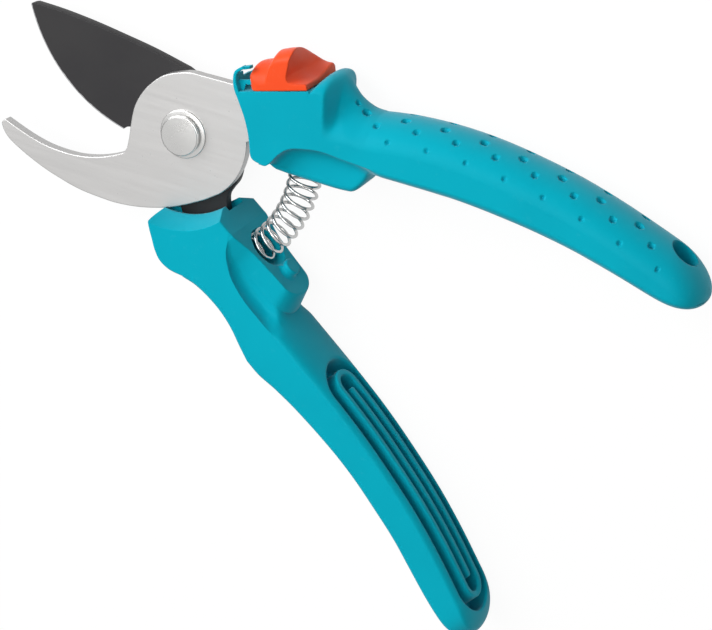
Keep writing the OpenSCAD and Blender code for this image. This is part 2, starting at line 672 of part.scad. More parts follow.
// Coil along an arc about the pivot axis: a turn is a circle round the arc while the angle moves on
coil_steps = 12;
wire_sides = 6;
coil_gap = 0.45;
function coil_point(k) =
    let (n = coil_turns * coil_steps, t = k / n, r = (coil_d - wire_d) / 2, turn = 360 * k / coil_steps,
         ends = wire_d * deg_per_mm,
         a0 = pocket_floor - open_angle + (wire_d / 2 + coil_gap) * deg_per_mm,
         a1 = seat_floor - (wire_d / 2 + coil_gap) * deg_per_mm,
         t0 = 1 / coil_turns,
         a = t < t0 ? a0 + ends * t / t0
           : t > 1 - t0 ? a1 - ends * (1 - t) / t0
           : a0 + ends + (a1 - a0 - 2 * ends) * (t - t0) / (1 - 2 * t0),
         q = coil_path_r + r * cos(turn))
    [q * cos(a), q * sin(a), mid + r * sin(turn)];
function unit(v) = v / norm(v);
module return_spring() {
    n = coil_turns * coil_steps;
    color(spring_steel)
        skin([for (k = [0 : n])
                  let (p = coil_point(k), d = unit(coil_point(k + 0.1) - coil_point(k - 0.1)),
                       a = atan2(p[1], p[0]), c = [coil_path_r * cos(a), coil_path_r * sin(a), mid],
                       u = unit(p - c), v = cross(d, u))
                  [for (j = [0 : wire_sides - 1])
                       let (b = -360 * j / wire_sides) p + wire_d / 2 * (u * cos(b) - v * sin(b))]]);
}

module lock_slider() {
    color(orange)
        in_lock()
            difference() {
                skin([for (s = slider_at) slider_ring(s)]);
                // slot of the riser of the tongue, wide enough to take in the guide groove
                translate([0, 0, blade_z - eps])
                    linear_extrude(mid + rib_t / 2 + 0.5 - blade_z)
                        riser_shape(eps);
            }
}
module lock_tongue() {
    color(spring_steel)
        in_lock()
            translate([0, 0, blade_z])
                linear_extrude(plate_t - 2 * eps) {
                    tongue_shape();
                    riser_shape();
                }
}

leaf_s = 38;
leaf_l = 5.4;
leaf_drop = 1.2;
leaf_z = mid + 2;
// A bowed strip that presses on the underside of the slider
module detent_leaf() {
    top = curve([[0, 0], [1.2, 0.1], [leaf_l / 2, leaf_drop - leaf_t - 0.1], [leaf_l - 1.2, 0.1],
                 [leaf_l, 0]], 4);
    color(spring_steel)
        in_lock()
            translate([leaf_s + lock_fit, seat_n - leaf_drop, leaf_z])
                linear_extrude(leaf_w)
                    polygon([each top, for (k = [len(top) - 1 : -1 : 0]) top[k] + [0, leaf_t]]);
}

upper_handle();
lower_handle();
hook_plate();
cutting_blade();
hook_pins();
blade_pins();
pivot_bolt();
pivot_bush();
friction_washer();
spring_washer();
pivot_nut();
return_spring();
lock_slider();
lock_tongue();
detent_leaf();
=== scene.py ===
import math

import bmesh
import bpy
import numpy as np
from mathutils import Matrix, Vector


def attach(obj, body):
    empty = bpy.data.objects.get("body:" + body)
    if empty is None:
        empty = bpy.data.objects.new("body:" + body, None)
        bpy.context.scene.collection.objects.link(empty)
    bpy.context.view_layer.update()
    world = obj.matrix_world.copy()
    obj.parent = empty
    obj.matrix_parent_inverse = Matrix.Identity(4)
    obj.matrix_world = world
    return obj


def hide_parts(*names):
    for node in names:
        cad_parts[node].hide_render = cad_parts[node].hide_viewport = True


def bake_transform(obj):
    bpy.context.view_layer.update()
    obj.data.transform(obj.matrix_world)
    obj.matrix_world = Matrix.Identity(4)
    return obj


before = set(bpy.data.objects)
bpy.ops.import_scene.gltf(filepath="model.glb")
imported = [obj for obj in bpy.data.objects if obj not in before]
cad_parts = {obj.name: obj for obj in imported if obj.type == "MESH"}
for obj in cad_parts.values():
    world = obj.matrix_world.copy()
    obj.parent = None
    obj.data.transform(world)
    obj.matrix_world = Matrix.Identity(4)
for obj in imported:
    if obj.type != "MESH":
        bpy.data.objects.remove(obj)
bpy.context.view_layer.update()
scene = bpy.context.scene
scene.view_settings.view_transform = "Standard"
mm = 0.001
print("frame loaded:", ", ".join(sorted(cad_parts)))

# heights shared by the pieces, in mm: the middle plane, its half thickness and the plates
middle = 11.0
half = 11.0
bladeLow, bladeHigh = 7.95, 10.95
hookLow, hookHigh = 11.05, 14.05
openAngle = 37.0
lockAngle = 16.0
seatHeight = 13.9
headLow, headHigh = 0.004, 21.996
# radius of the return spring's arc round the pivot, and the blade's ground edge
springArc = 36.5
edgeCentre, edgeRadius = (-32.2, 25.8), 46.3


# Smooth line through points whose x rises: cubics whose end slopes are the chords across the neighbours
def lineAt(points, x):
    p = np.asarray(points, float)
    x = np.clip(np.asarray(x, float), p[0, 0], p[-1, 0])
    slopes = np.empty(len(p))
    slopes[1:-1] = (p[2:, 1] - p[:-2, 1]) / (p[2:, 0] - p[:-2, 0])
    slopes[0] = (p[1, 1] - p[0, 1]) / (p[1, 0] - p[0, 0])
    slopes[-1] = (p[-1, 1] - p[-2, 1]) / (p[-1, 0] - p[-2, 0])
    i = np.clip(np.searchsorted(p[:, 0], x, side="right") - 1, 0, len(p) - 2)
    h = p[i + 1, 0] - p[i, 0]
    t = (x - p[i, 0]) / h
    return (p[i, 1] * (1 + 2 * t) * (1 - t) ** 2 + p[i + 1, 1] * t ** 2 * (3 - 2 * t)
            + h * (slopes[i] * t * (1 - t) ** 2 - slopes[i + 1] * t ** 2 * (1 - t)))


# Smooth open curve through points: a Catmull-Rom cubic between each pair, n samples to a stretch
def curveThrough(points, n=8):
    p = np.asarray(points, float)
    q = np.vstack([p[:1], p, p[-1:]])
    t = np.linspace(0, 1, n, endpoint=False)[None, :, None]
    a, b, c, d = (q[k:len(q) - 3 + k, None, :] for k in range(4))
    out = 0.5 * (2 * b + (c - a) * t + (2 * a - 5 * b + 4 * c - d) * t ** 2
                 + (3 * b - 3 * c + d - a) * t ** 3)
    return np.vstack([out.reshape(-1, 2), p[-1:]])


# Points of a circle arc from angle a to angle b, in degrees
def arcAround(centre, radius, a, b, n=40):
    t = np.radians(np.linspace(a, b, n + 1))
    return np.asarray(centre) + radius * np.stack([np.cos(t), np.sin(t)], 1)


# Smooth step from 0 at a to 1 at b: 3t² - 2t³
def ease(a, b, x):
    t = np.clip((np.asarray(x, float) - a) / (b - a), 0, 1)
    return t * t * (3 - 2 * t)


# Points turned about the pivot axis by an angle in degrees
def turned(points, degrees):
    p = np.array(points, float)
    c, s = math.cos(math.radians(degrees)), math.sin(math.radians(degrees))
    x, y = p[..., 0] * c - p[..., 1] * s, p[..., 0] * s + p[..., 1] * c
    p[..., 0], p[..., 1] = x, y
    return p


# Points (s, n) on the slider's axes, and the corners of a box along them
def onLock(*points):
    return list(turned(points, lockAngle))


def lockBox(s0, s1, n0, n1):
    return onLock((s0, n0), (s1, n0), (s1, n1), (s0, n1))


# Volume under the faces: the sum of the triangle fans' signed volumes. Negative means inside out
def signedVolume(points, faces):
    total = 0.0
    sizes = np.array([len(f) for f in faces])
    for size in np.unique(sizes):
        rows = points[np.array([f for f in faces if len(f) == size])]
        for k in range(1, size - 1):
            total += np.einsum("ij,ij->i", rows[:, 0], np.cross(rows[:, k], rows[:, k + 1])).sum()
    return total


def newObject(name, data):
    obj = bpy.data.objects.new(name, data)
    scene.collection.objects.link(obj)
    return obj


# A mesh object from points in mm and its faces, turned outwards, smooth up to an angle
def meshPiece(name, points, faces, smooth=32):
    points = np.asarray(points, float)
    faces = [list(f) for f in faces]
    if signedVolume(points, faces) < 0:
        faces = [f[::-1] for f in faces]
    mesh = bpy.data.meshes.new(name)
    mesh.from_pydata((points * mm).tolist(), [], faces)
    mesh.update()
    obj = newObject(name, mesh)
    softEdges(obj, smooth)
    return obj


def softEdges(obj, degrees):
    obj.data.shade_smooth()
    obj.data.set_sharp_from_angle(angle=math.radians(degrees))


# Closed surface over a grid of rings, with its first and last ring filled. Where the rings mirror, the
# filling is strips between point k and point n - k
def ringSurface(name, grid, smooth=32, endless=False, mirrored=False):
    m, n = grid.shape[:2]
    i, j = np.meshgrid(np.arange(m if endless else m - 1), np.arange(n), indexing="ij")
    k, l = (i + 1) % m, (j + 1) % n
    quads = np.stack([i * n + j, i * n + l, k * n + l, k * n + j], -1).reshape(-1, 4).tolist()
    if mirrored:
        strips = [[k, (n - k) % n, n - k - 1, k + 1] for k in range(n // 2)]
        strips = [list(dict.fromkeys(f)) for f in strips]
        quads += strips + [[(m - 1) * n + k for k in f[::-1]] for f in strips]
    elif not endless:
        quads.append(list(range(n))[::-1])
        quads.append(list(range((m - 1) * n, m * n)))
    return meshPiece(name, grid.reshape(-1, 3), quads, smooth)


# Flat plate from an outline: the outline is carried up through a profile of (inset, height) pairs,
# each point moved inwards along the mean of its two edges' normals. A last ring 0.1 mm further in keeps
# the flat faces' shading apart from the round edge
def platePiece(name, outline, low, high, edge=0.0, steps=3, smooth=32):
    p = np.asarray(outline, float)
    keep = np.linalg.norm(p - np.roll(p, 1, 0), axis=1) > 1e-4
    p = p[keep]
    area = np.sum(p[:, 0] * np.roll(p[:, 1], -1) - np.roll(p[:, 0], -1) * p[:, 1])
    if area < 0:
        p = p[::-1]
    d = np.roll(p, -1, 0) - p
    side = np.stack([-d[:, 1], d[:, 0]], 1) / np.linalg.norm(d, axis=1)[:, None]
    inward = side + np.roll(side, 1, 0)
    inward /= np.maximum(np.sum(inward * side, 1), 0.4)[:, None]
    t = np.linspace(0, math.pi / 2, steps + 1) if edge else np.array([0.0])
    rim = [(edge * (1 - math.sin(a)), edge * (1 - math.cos(a))) for a in t]
    if edge:
        rim = [(edge + 0.1, 0.0)] + rim
    profile = [(i, low + h) for i, h in rim] + [(i, high - h) for i, h in rim[::-1]]
    rings = [np.column_stack([p + inward * i, np.full(len(p), z)]) for i, z in profile]
    return ringSurface(name, np.array(rings), smooth)


# Surface of revolution: a profile of (radius, height) pairs carried round the axis
def turnedPiece(name, profile, n=96, smooth=32):
    p = np.asarray(profile, float)
    t = np.linspace(0, 2 * math.pi, n, endpoint=False)
    radius = np.maximum(p[:, 0], 1e-4)
    grid = np.stack([radius[:, None] * np.cos(t), radius[:, None] * np.sin(t),
                     np.broadcast_to(p[:, 1:2], (len(p), n))], -1)
    return ringSurface(name, grid, smooth)


# Tube round a straight line from a to b; the profile holds (share of the way, radius) pairs
def rodBetween(name, a, b, profile, n=72):
    a, b = np.asarray(a, float), np.asarray(b, float)
    d = (b - a) / np.linalg.norm(b - a)
    u = np.cross(d, [0.0, 0.0, 1.0]) if abs(d[2]) < 0.9 else np.cross(d, [1.0, 0.0, 0.0])
    u /= np.linalg.norm(u)
    v = np.cross(d, u)
    t = np.linspace(0, 2 * math.pi, n, endpoint=False)
    ring = np.outer(np.cos(t), u) + np.outer(np.sin(t), v)
    return ringSurface(name, np.array([a + (b - a) * s + ring * r for s, r in profile]))


# Moves a piece's points by a function on their coordinates in mm
def reshape(obj, change):
    flat = np.empty(len(obj.data.vertices) * 3)
    obj.data.vertices.foreach_get("co", flat)
    points = change(flat.reshape(-1, 3) / mm) * mm
    obj.data.vertices.foreach_set("co", points.ravel())
    obj.data.update()
    return obj


# Turns the faces of a piece that a reshape has left inside out
def flip(obj):
    work = bmesh.new()
    work.from_mesh(obj.data)
    bmesh.ops.recalc_face_normals(work, faces=work.faces)
    work.to_mesh(obj.data)
    work.free()


# A piece's only finish
def dress(obj, finish):
    obj.data.materials.clear()
    obj.data.materials.append(finish)


# Adds and cuts away other pieces with exact booleans, then deletes them
def carve(piece, cuts=(), adds=(), smooth=32):
    for other, how in [(o, "UNION") for o in adds] + [(o, "DIFFERENCE") for o in cuts]:
        step = piece.modifiers.new(how, "BOOLEAN")
        step.operation, step.object, step.solver = how, other, "EXACT"
    bpy.context.view_layer.update()
    done = bpy.data.meshes.new_from_object(piece.evaluated_get(bpy.context.evaluated_depsgraph_get()))
    piece.modifiers.clear()
    old, piece.data = piece.data, done
    bpy.data.meshes.remove(old)
    for other in list(cuts) + list(adds):
        bpy.data.objects.remove(other)
    softEdges(piece, smooth)
    print("  carved", piece.name, len(piece.data.polygons), "faces")
    return piece


# sRGB shares turned into the linear values that shaders take
def tone(r, g, b):
    return tuple(((c / 255 + 0.055) / 1.055) ** 2.4 if c > 10 else c / 255 / 12.92
                 for c in (r, g, b)) + (1.0,)


# One output of a node; arithmetic on it adds Math nodes
class Wire:
    def __init__(self, finish, output):
        self.finish, self.output = finish, output

    def math(self, operation, *values):
        slots = dict(enumerate(values))
        return self.finish.node("ShaderNodeMath", {"operation": operation}, slots)

    def __add__(self, other): return self.math("ADD", self, other)
    def __radd__(self, other): return self.math("ADD", other, self)
    def __sub__(self, other): return self.math("SUBTRACT", self, other)
    def __rsub__(self, other): return self.math("SUBTRACT", other, self)
    def __mul__(self, other): return self.math("MULTIPLY", self, other)
    def __rmul__(self, other): return self.math("MULTIPLY", other, self)
    def __truediv__(self, other): return self.math("DIVIDE", self, other)
    def __rtruediv__(self, other): return self.math("DIVIDE", other, self)

    def between(self, low, high):
        return self.finish.node("ShaderNodeMapRange", {"interpolation_type": "SMOOTHSTEP"},
                                {"Value": self, "From Min": low, "From Max": high})


# A material and the means to fill it
class Finish:
    def __init__(self, name):
        self.material = bpy.data.materials.new(name)
        self.material.use_nodes = True
        self.tree = self.material.node_tree
        self.tree.nodes.clear()
        self.end = self.tree.nodes.new("ShaderNodeOutputMaterial")
        self.place = self.node("ShaderNodeTexCoord", {}, {}, "Object")

    # settings come first, then each socket gets its value or its link
    def node(self, kind, settings, values, output=0):
        made = self.tree.nodes.new(kind)
        for key, value in settings.items():
            setattr(made, key, value)
        for key, value in values.items():
            if isinstance(value, Wire):
                self.tree.links.new(value.output, made.inputs[key])
            else:
                made.inputs[key].default_value = value
        return Wire(self, made.outputs[output])

    def noise(self, scale, detail=3.0, rough=0.55, at=None):
        return self.node("ShaderNodeTexNoise", {}, {"Vector": at or self.place, "Scale": scale,
                                                    "Detail": detail, "Roughness": rough})

    # colour a where the factor is 0, colour b where it is 1
    def mix(self, factor, a, b):
        return self.node("ShaderNodeMix", {"data_type": "RGBA"}, {0: factor, 6: a, 7: b}, 2)

    def surface(self, values):
        shader = self.node("ShaderNodeBsdfPrincipled", {}, values)
        self.tree.links.new(shader.output, self.end.inputs["Surface"])
        return self.material


# Rounded look of small edges, then a height on top of it, in metres
def relief(finish, height, depth, edge):
    values = {"Height": height, "Distance": depth, "Strength": 1.0}
    if edge:
        values["Normal"] = finish.node("ShaderNodeBevel", {"samples": 6}, {"Radius": edge})
    return finish.node("ShaderNodeBump", {}, values)


# Moulded plastic: a fine spark-eroded grain, a slow change of shade, small glossy scuffs
def mouldedPlastic(name, look):
    f = Finish(name)
    grain = f.noise(look["grainScale"], 2.0, 0.5)
    cloud = f.noise(28.0, 3.0)
    scuff = f.noise(420.0, 4.0, 0.7).between(0.58, 0.74)
    colour = f.mix(cloud.between(0.3, 0.7), look["shade"], look["colour"])
    colour = f.mix(scuff * 0.10, colour, look["pale"])
    rough = look["roughness"] + (grain - 0.5) * 0.16 - scuff * 0.05
    normal = relief(f, grain, look["grainDepth"], look["edge"])
    return f.surface({"Base Color": colour, "Roughness": rough, "Normal": normal,
                      "Specular IOR Level": look["specular"], "IOR": 1.5,
                      "Sheen Weight": look["sheen"], "Sheen Roughness": 0.4})


# Brushed sheet steel: noise drawn out along one direction, with rare pits
def brushedSteel(name, look):
    f = Finish(name)
    along = f.node("ShaderNodeMapping", {}, {"Vector": f.place,
                                             "Rotation": (0, 0, math.radians(look["angle"])),
                                             "Scale": (0.05, 1.0, 0.6)})
    lines = f.noise(look["lineScale"], 4.0, 0.6, along)
    cloud = f.noise(35.0, 3.0)
    pits = f.noise(900.0, 2.0).between(0.70, 0.78)
    colour = f.mix(lines * 0.5 + cloud * 0.5, look["shade"], look["colour"])
    colour = f.mix(pits * 0.35, colour, look["pit"])
    rough = look["roughness"] + (lines - 0.5) * 0.18 + pits * 0.2
    normal = relief(f, lines + pits * -0.6, look["lineDepth"], look["edge"])
    return f.surface({"Base Color": colour, "Metallic": look["metallic"], "Roughness": rough,
                      "Normal": normal})


# Distance of a place from the axis that stands at its origin
def axisReach(f, place):
    flat = f.node("ShaderNodeVectorMath", {"operation": "MULTIPLY"}, {0: place, 1: (1.0, 1.0, 0.0)})
    return f.node("ShaderNodeVectorMath", {"operation": "LENGTH"}, {0: flat}, "Value")


# Non-stick coat: a fine matte orange peel, worn to steel along the ground edge
def coatedBlade(name, look):
    f = Finish(name)
    peel = f.noise(1500.0, 3.0, 0.6)
    cloud = f.noise(40.0, 4.0)
    centre = turned(edgeCentre, -openAngle) * mm
    away = f.node("ShaderNodeVectorMath", {"operation": "SUBTRACT"},
                  {0: f.place, 1: (float(centre[0]), float(centre[1]), 0.0)})
    reach = axisReach(f, away)
    parts = f.node("ShaderNodeSeparateXYZ", {}, {0: f.place}, "X")
    front = (edgeRadius - 0.45) * mm
    ground = (reach + (f.noise(700.0, 3.0) - 0.5) * 0.0004).between(front, front + 0.0002)
    jaw = 1 - parts.between(-0.0145, -0.0125)
    bare = ground * jaw
    colour = f.mix(cloud.between(0.3, 0.7), look["shade"], look["colour"])
    colour = f.mix(bare, colour, look["steel"])
    rough = look["roughness"] + (peel - 0.5) * 0.14 - bare * 0.12
    normal = relief(f, peel, 0.000004, look["edge"])
    return f.surface({"Base Color": colour, "Metallic": bare * 0.9, "Roughness": rough, "Normal": normal,
                      "Specular IOR Level": look["specular"]})


# Turned metal face: rings round the pivot axis, height from a noise on the distance to it
def turnedSteel(name, look):
    f = Finish(name)
    reach = axisReach(f, f.place)
    rings = f.node("ShaderNodeTexNoise", {"noise_dimensions": "1D"},
                   {"W": reach, "Scale": look["ringScale"], "Detail": 3.0, "Roughness": 0.7})
    cloud = f.noise(160.0, 3.0)
    colour = f.mix(rings * 0.6 + cloud * 0.4, look["shade"], look["colour"])
    rough = look["roughness"] + (cloud - 0.5) * 0.1
    normal = relief(f, rings, look["ringDepth"], look["edge"])
    return f.surface({"Base Color": colour, "Metallic": 1.0, "Roughness": rough, "Normal": normal})


# Drawn wire and small pins: bright metal with faint marks
def brightSteel(name, look):
    f = Finish(name)
    marks = f.noise(look["markScale"], 4.0, 0.65)
    cloud = f.noise(90.0, 2.0)
    colour = f.mix(marks * 0.6 + cloud * 0.4, look["shade"], look["colour"])
    rough = look["roughness"] + (marks - 0.5) * 0.12
    normal = relief(f, marks, look["markDepth"], 0.0)
    return f.surface({"Base Color": colour, "Metallic": 1.0, "Roughness": rough, "Normal": normal})


handlePlasticLook = {"colour": tone(0, 176, 198), "shade": tone(0, 169, 191), "pale": tone(70, 196, 212),
                     "roughness": 0.5, "specular": 0.05, "sheen": 0.26, "grainScale": 2600.0,
                     "grainDepth": 0.000012,
                     "edge": 0.00045}
sliderPlasticLook = {"colour": tone(252, 86, 36), "shade": tone(248, 78, 30), "pale": tone(255, 150, 110),
                     "roughness": 0.46, "specular": 0.2, "sheen": 0.18, "grainScale": 2600.0,
                     "grainDepth": 0.00001,
                     "edge": 0.0006}
hookSteelLook = {"colour": tone(203, 202, 201), "shade": tone(192, 191, 190), "pit": tone(150, 150, 150),
                 "roughness": 0.42, "metallic": 0.85, "angle": 25.0, "lineScale": 900.0,
                 "lineDepth": 0.000004, "edge": 0.00025}
bladeCoatLook = {"colour": tone(48, 47, 48), "shade": tone(41, 40, 42), "steel": tone(190, 190, 192),
                 "roughness": 0.5, "specular": 0.3, "edge": 0.0003}
boltSteelLook = {"colour": tone(222, 221, 219), "shade": tone(196, 196, 195), "roughness": 0.28,
                 "ringScale": 9000.0, "ringDepth": 0.000006, "edge": 0.0002}
nutSteelLook = {"colour": tone(196, 196, 196), "shade": tone(160, 160, 162), "roughness": 0.3,
                "markScale": 500.0, "markDepth": 0.000006}
wireSteelLook = {"colour": tone(226, 225, 222), "shade": tone(186, 186, 188), "roughness": 0.16,
                 "markScale": 1400.0, "markDepth": 0.000003}
brassLook = {"colour": tone(212, 176, 104), "shade": tone(186, 146, 80), "roughness": 0.32,
             "markScale": 900.0, "markDepth": 0.000004}

handlePlastic = mouldedPlastic("handlePlastic", handlePlasticLook)
sliderPlastic = mouldedPlastic("sliderPlastic", sliderPlasticLook)
hookSteel = brushedSteel("hookSteel", hookSteelLook)
bladeCoat = coatedBlade("bladeCoat", bladeCoatLook)
boltSteel = turnedSteel("boltSteel", boltSteelLook)
nutSteel = brightSteel("nutSteel", nutSteelLook)
wireSteel = brightSteel("wireSteel", wireSteelLook)
brass = brightSteel("bushBrass", brassLook)
print("finishes made")


viewLook = {"place": (0.2236, 0.2013, 0.4863), "lens": 101.12,
            "right": (0.90775143, 0.14943854, -0.39198911), "up": (-0.29595037, 0.89036964, -0.34591224),
            "back": (0.29732258, 0.43001165, 0.85246071)}
camera = newObject("viewCamera", bpy.data.cameras.new("viewCamera"))
camera.data.lens, camera.data.sensor_width = viewLook["lens"], 36.0
camera.data.clip_start, camera.data.clip_end = 0.01, 20.0
axes = Matrix((viewLook["right"], viewLook["up"], viewLook["back"])).transposed().to_4x4()
camera.matrix_world = Matrix.Translation(Vector(viewLook["place"])) @ axes
scene.camera = camera


lightLook = {
    # name: place, target, width, height, watts, colour
    "keyLight": ((0.02, 0.20, 1.10), (0.05, -0.03, 0.0), 0.70, 0.70, 5.4, (1.0, 0.99, 0.97)),
    "sideLight": ((-0.80, 0.55, 0.80), (0.05, 0.0, 0.0), 0.80, 0.80, 12.5, (0.97, 0.98, 1.0)),
}
for name, (place, target, width, height, watts, colour) in lightLook.items():
    lamp = bpy.data.lights.new(name, "AREA")
    lamp.shape, lamp.size, lamp.size_y, lamp.energy, lamp.color = "RECTANGLE", width, height, watts, colour
    obj = newObject(name, lamp)
    aim = (Vector(target) - Vector(place)).to_track_quat("-Z", "Y")
    obj.matrix_world = Matrix.Translation(Vector(place)) @ aim.to_matrix().to_4x4()

# the room is dimmer as a light than as what metal and gloss reflect
worldLook = {"light": 0.18, "horizon": 0.2, "above": 0.85}
world = bpy.data.worlds.new("paleRoom")
scene.world = world
world.use_nodes = True
tree = world.node_tree
seen, share, rays, parts, height = (tree.nodes.new("ShaderNode" + kind) for kind in (
    "LightPath", "MapRange", "TexCoord", "SeparateXYZ", "MapRange"))
share.inputs["To Min"].default_value = worldLook["light"]
# what gloss reflects is darker towards the horizon than above
for key, value in (("From Min", 0.1), ("From Max", 0.6), ("To Min", worldLook["horizon"]),
                   ("To Max", worldLook["above"])):
    height.inputs[key].default_value = value
backdrop = tree.nodes["Background"]
for output, socket in ((rays.outputs["Generated"], parts.inputs[0]),
                       (parts.outputs["Z"], height.inputs["Value"]),
                       (height.outputs[0], share.inputs["To Max"]),
                       (seen.outputs["Is Glossy Ray"], share.inputs["Value"]),
                       (share.outputs[0], backdrop.inputs["Strength"])):
    tree.links.new(output, socket)
backdrop.inputs["Color"].default_value = (1.0, 1.0, 1.0, 1.0)

# the floor keeps the shadow, and reads as near white to the eye and in reflections
floorLook = {"size": 6.0, "height": 0.0, "albedo": tone(208, 208, 208), "ownShare": 0.9, "white": 1.05}


def makeFloor(look):
    s, z = look["size"] / 2, look["height"]
    mesh = bpy.data.meshes.new("floor")
    mesh.from_pydata([(-s, -s, z), (s, -s, z), (s, s, z), (-s, s, z)], [], [(0, 1, 2, 3)])
    obj = newObject("floor", mesh)
    f = Finish("floorPaint")
    speck = f.noise(60.0, 3.0)
    diffuse = f.node("ShaderNodeBsdfDiffuse", {}, {"Color": f.mix(speck, look["albedo"],
            tone(214, 214, 214))})
    glow = f.node("ShaderNodeEmission", {}, {"Color": (1, 1, 1, 1), "Strength": look["white"]})
    path = f.tree.nodes.new("ShaderNodeLightPath")
    seen = [Wire(f, path.outputs[k]) for k in ("Is Camera Ray", "Is Glossy Ray", "Is Transmission Ray")]
    share = seen[0] * look["ownShare"] + seen[1] * 0.6 + seen[2] * 0.8
    both = f.node("ShaderNodeMixShader", {}, {0: share, 1: diffuse, 2: glow})
    f.tree.links.new(both.output, f.end.inputs["Surface"])
    obj.data.materials.append(f.material)


makeFloor(floorLook)
print("camera, floor and lights set")


# Half a handle section from the middle of the inner side to the middle of the back, as (place, height
# over the middle plane) for all stations at once. A grip's is a quarter ellipse, a flat and the back's
# quarter ellipse. A head's is a narrow part with round corners, a hollow quarter ellipse, the same back.
# Counts of points first, then the corner's rise and round, its and the cove's largest share of the
# side, and the grip's angles where the parts meet.
sectionLook = {"low": 10, "corner": 8, "side": 6, "cove": 14, "flat": 12, "back": 50, "cornerUp": 1.8,
               "cornerRound": 1.6, "upShare": 0.3, "coveShare": 0.6, "gripAngles": (90, 78.75, 56.25, 45, 0)}


def halfSections(inner, ridge, low, width, cove, crown, rise, height, blendIn):
    k = sectionLook
    inner, ridge, low, width, crown, rise, height, w = (
        np.asarray(a, float)[:, None] for a in (inner, ridge, low, width, crown, rise, height, blendIn))
    span = [np.linspace(0, 1, k[part], endpoint=False)[None, :] for part in ("low", "corner", "side", "cove")]
    c = np.minimum(cove, k["coveShare"] * (ridge - low))
    up = np.minimum(k["cornerUp"], k["upShare"] * (ridge - low))
    quarter, bend = math.pi / 2, k["cornerRound"]
    head = [
        (low + 0 * span[0], (width - bend) * span[0]),
        (low + up * (1 - np.cos(span[1] * quarter)), width - bend + bend * np.sin(span[1] * quarter)),
        (low + up + (ridge - c - low - up) * span[2], width + 0 * span[2]),
        (ridge - c + c * np.sin(span[3] * quarter), height - (height - width) * np.cos(span[3] * quarter)),
    ]
    cuts = k["gripAngles"]
    t = np.radians(np.concatenate([a + (b - a) * s for a, b, s in zip(cuts, cuts[1:], span)], 1))
    gripV, gripZ = ridge - (ridge - inner) * np.sin(t), height * np.cos(t)
    headV, headZ = (np.concatenate([p[i] for p in head], 1) for i in (0, 1))
    v, z = w * gripV + (1 - w) * headV, w * gripZ + (1 - w) * headZ
    e = np.linspace(0, 1, k["flat"], endpoint=False)[None, :]
    b = np.linspace(0, quarter, k["back"])[None, :]
    flat = (ridge + (crown - rise - ridge) * e, height + 0 * e)
    back = (crown - rise + rise * np.sin(b), height * np.cos(b))
    return np.concatenate([v, flat[0], back[0]], 1), np.concatenate([z, flat[1], back[1]], 1)


# Whole rings from half sections: the half, then its mirror image without the two middle points
def ringGrid(x, v, z, side):
    vv = np.concatenate([v, v[:, -2:0:-1]], 1)
    zz = np.concatenate([z, -z[:, -2:0:-1]], 1)
    zz[:, 0] = 0
    xx = np.broadcast_to(x[:, None], vv.shape)
    return np.stack([xx, side * vv, middle + side * zz], -1)


# Stations along a handle: even, then closing in on the rounded far end like the sine of an angle
def stationsAlong(start, length, tip, step):
    even = np.arange(start, length - tip, step)
    t = np.radians(np.arange(0, 89.5, 2.2))
    return np.concatenate([even, length - tip + tip * np.sin(t)])


# The far end closes: (1 - t^p)^0.5 over its last stretch
def closingAt(x, length, tip, power):
    t = np.clip((x - length + tip) / tip, 0, 1)
    return np.sqrt(1 - t ** power)


upperLook = {
    "start": 27.0, "neck": 56.0, "length": 152.0, "endHeight": -2.0, "tip": 12.0, "seatEnd": 38.3,
    "hump": [(38.3, 25.44), (39.6, 27.8), (41, 29.0), (42.4, 29.2), (44, 28.6), (46, 26.6), (48.2, 24.5),
        (50.4, 23), (53, 21.8), (56, 21.4)],
    "humpRound": [(38.3, 1), (41, 4), (45, 5), (48, 7), (51, 8), (56, 8)],
    "scoop": [(27, 1.3), (29.0, 1.35), (30, 2.3), (30.9, 3.6), (32.2, 5.5), (34.4, 7.6), (37.7, 8.9),
        (43.9, 9.9), (51, 9.5), (60, 9.1)],
    "bulge": [(27, 1.1), (28.5, -0.1), (30, -1.0), (31.5, -1.2), (34, -1.35), (42, -1.4), (48, -1.4),
        (52, -1.1), (54, -0.6), (55.4, 0.4), (56.3, 1.8), (56.9, 3.5), (57.7, 4.8), (58.8, 5.4), (60, 5.6)],
    "bulgeWidth": 6.25,
    "crown": [(0, 21.4), (0.1, 22.7), (0.22, 23.2), (0.34, 22.6), (0.46, 21), (0.58, 18.7), (0.7, 15.5),
        (0.82, 11.6), (0.91, 8.4), (1, 4.8)],
    "ridge": [(0, 9.2), (0.1, 9.3), (0.25, 9.5), (0.4, 8.8), (0.62, 5.7), (0.81, 0.8), (0.9, -1.5),
              (1, -2.6)],
    "inner": [(0, 5.5), (0.14, 5.6), (0.27, 5.4), (0.39, 4.4), (0.51, 3.1), (0.63, 1.1), (0.76, -1.7),
        (0.88, -4.8), (1, -6.6)],
    "seatRound": 0.12, "gripRound": 8.0, "scoopEnd": 60.0,
    "hollow": (74.0, 126.0),
}
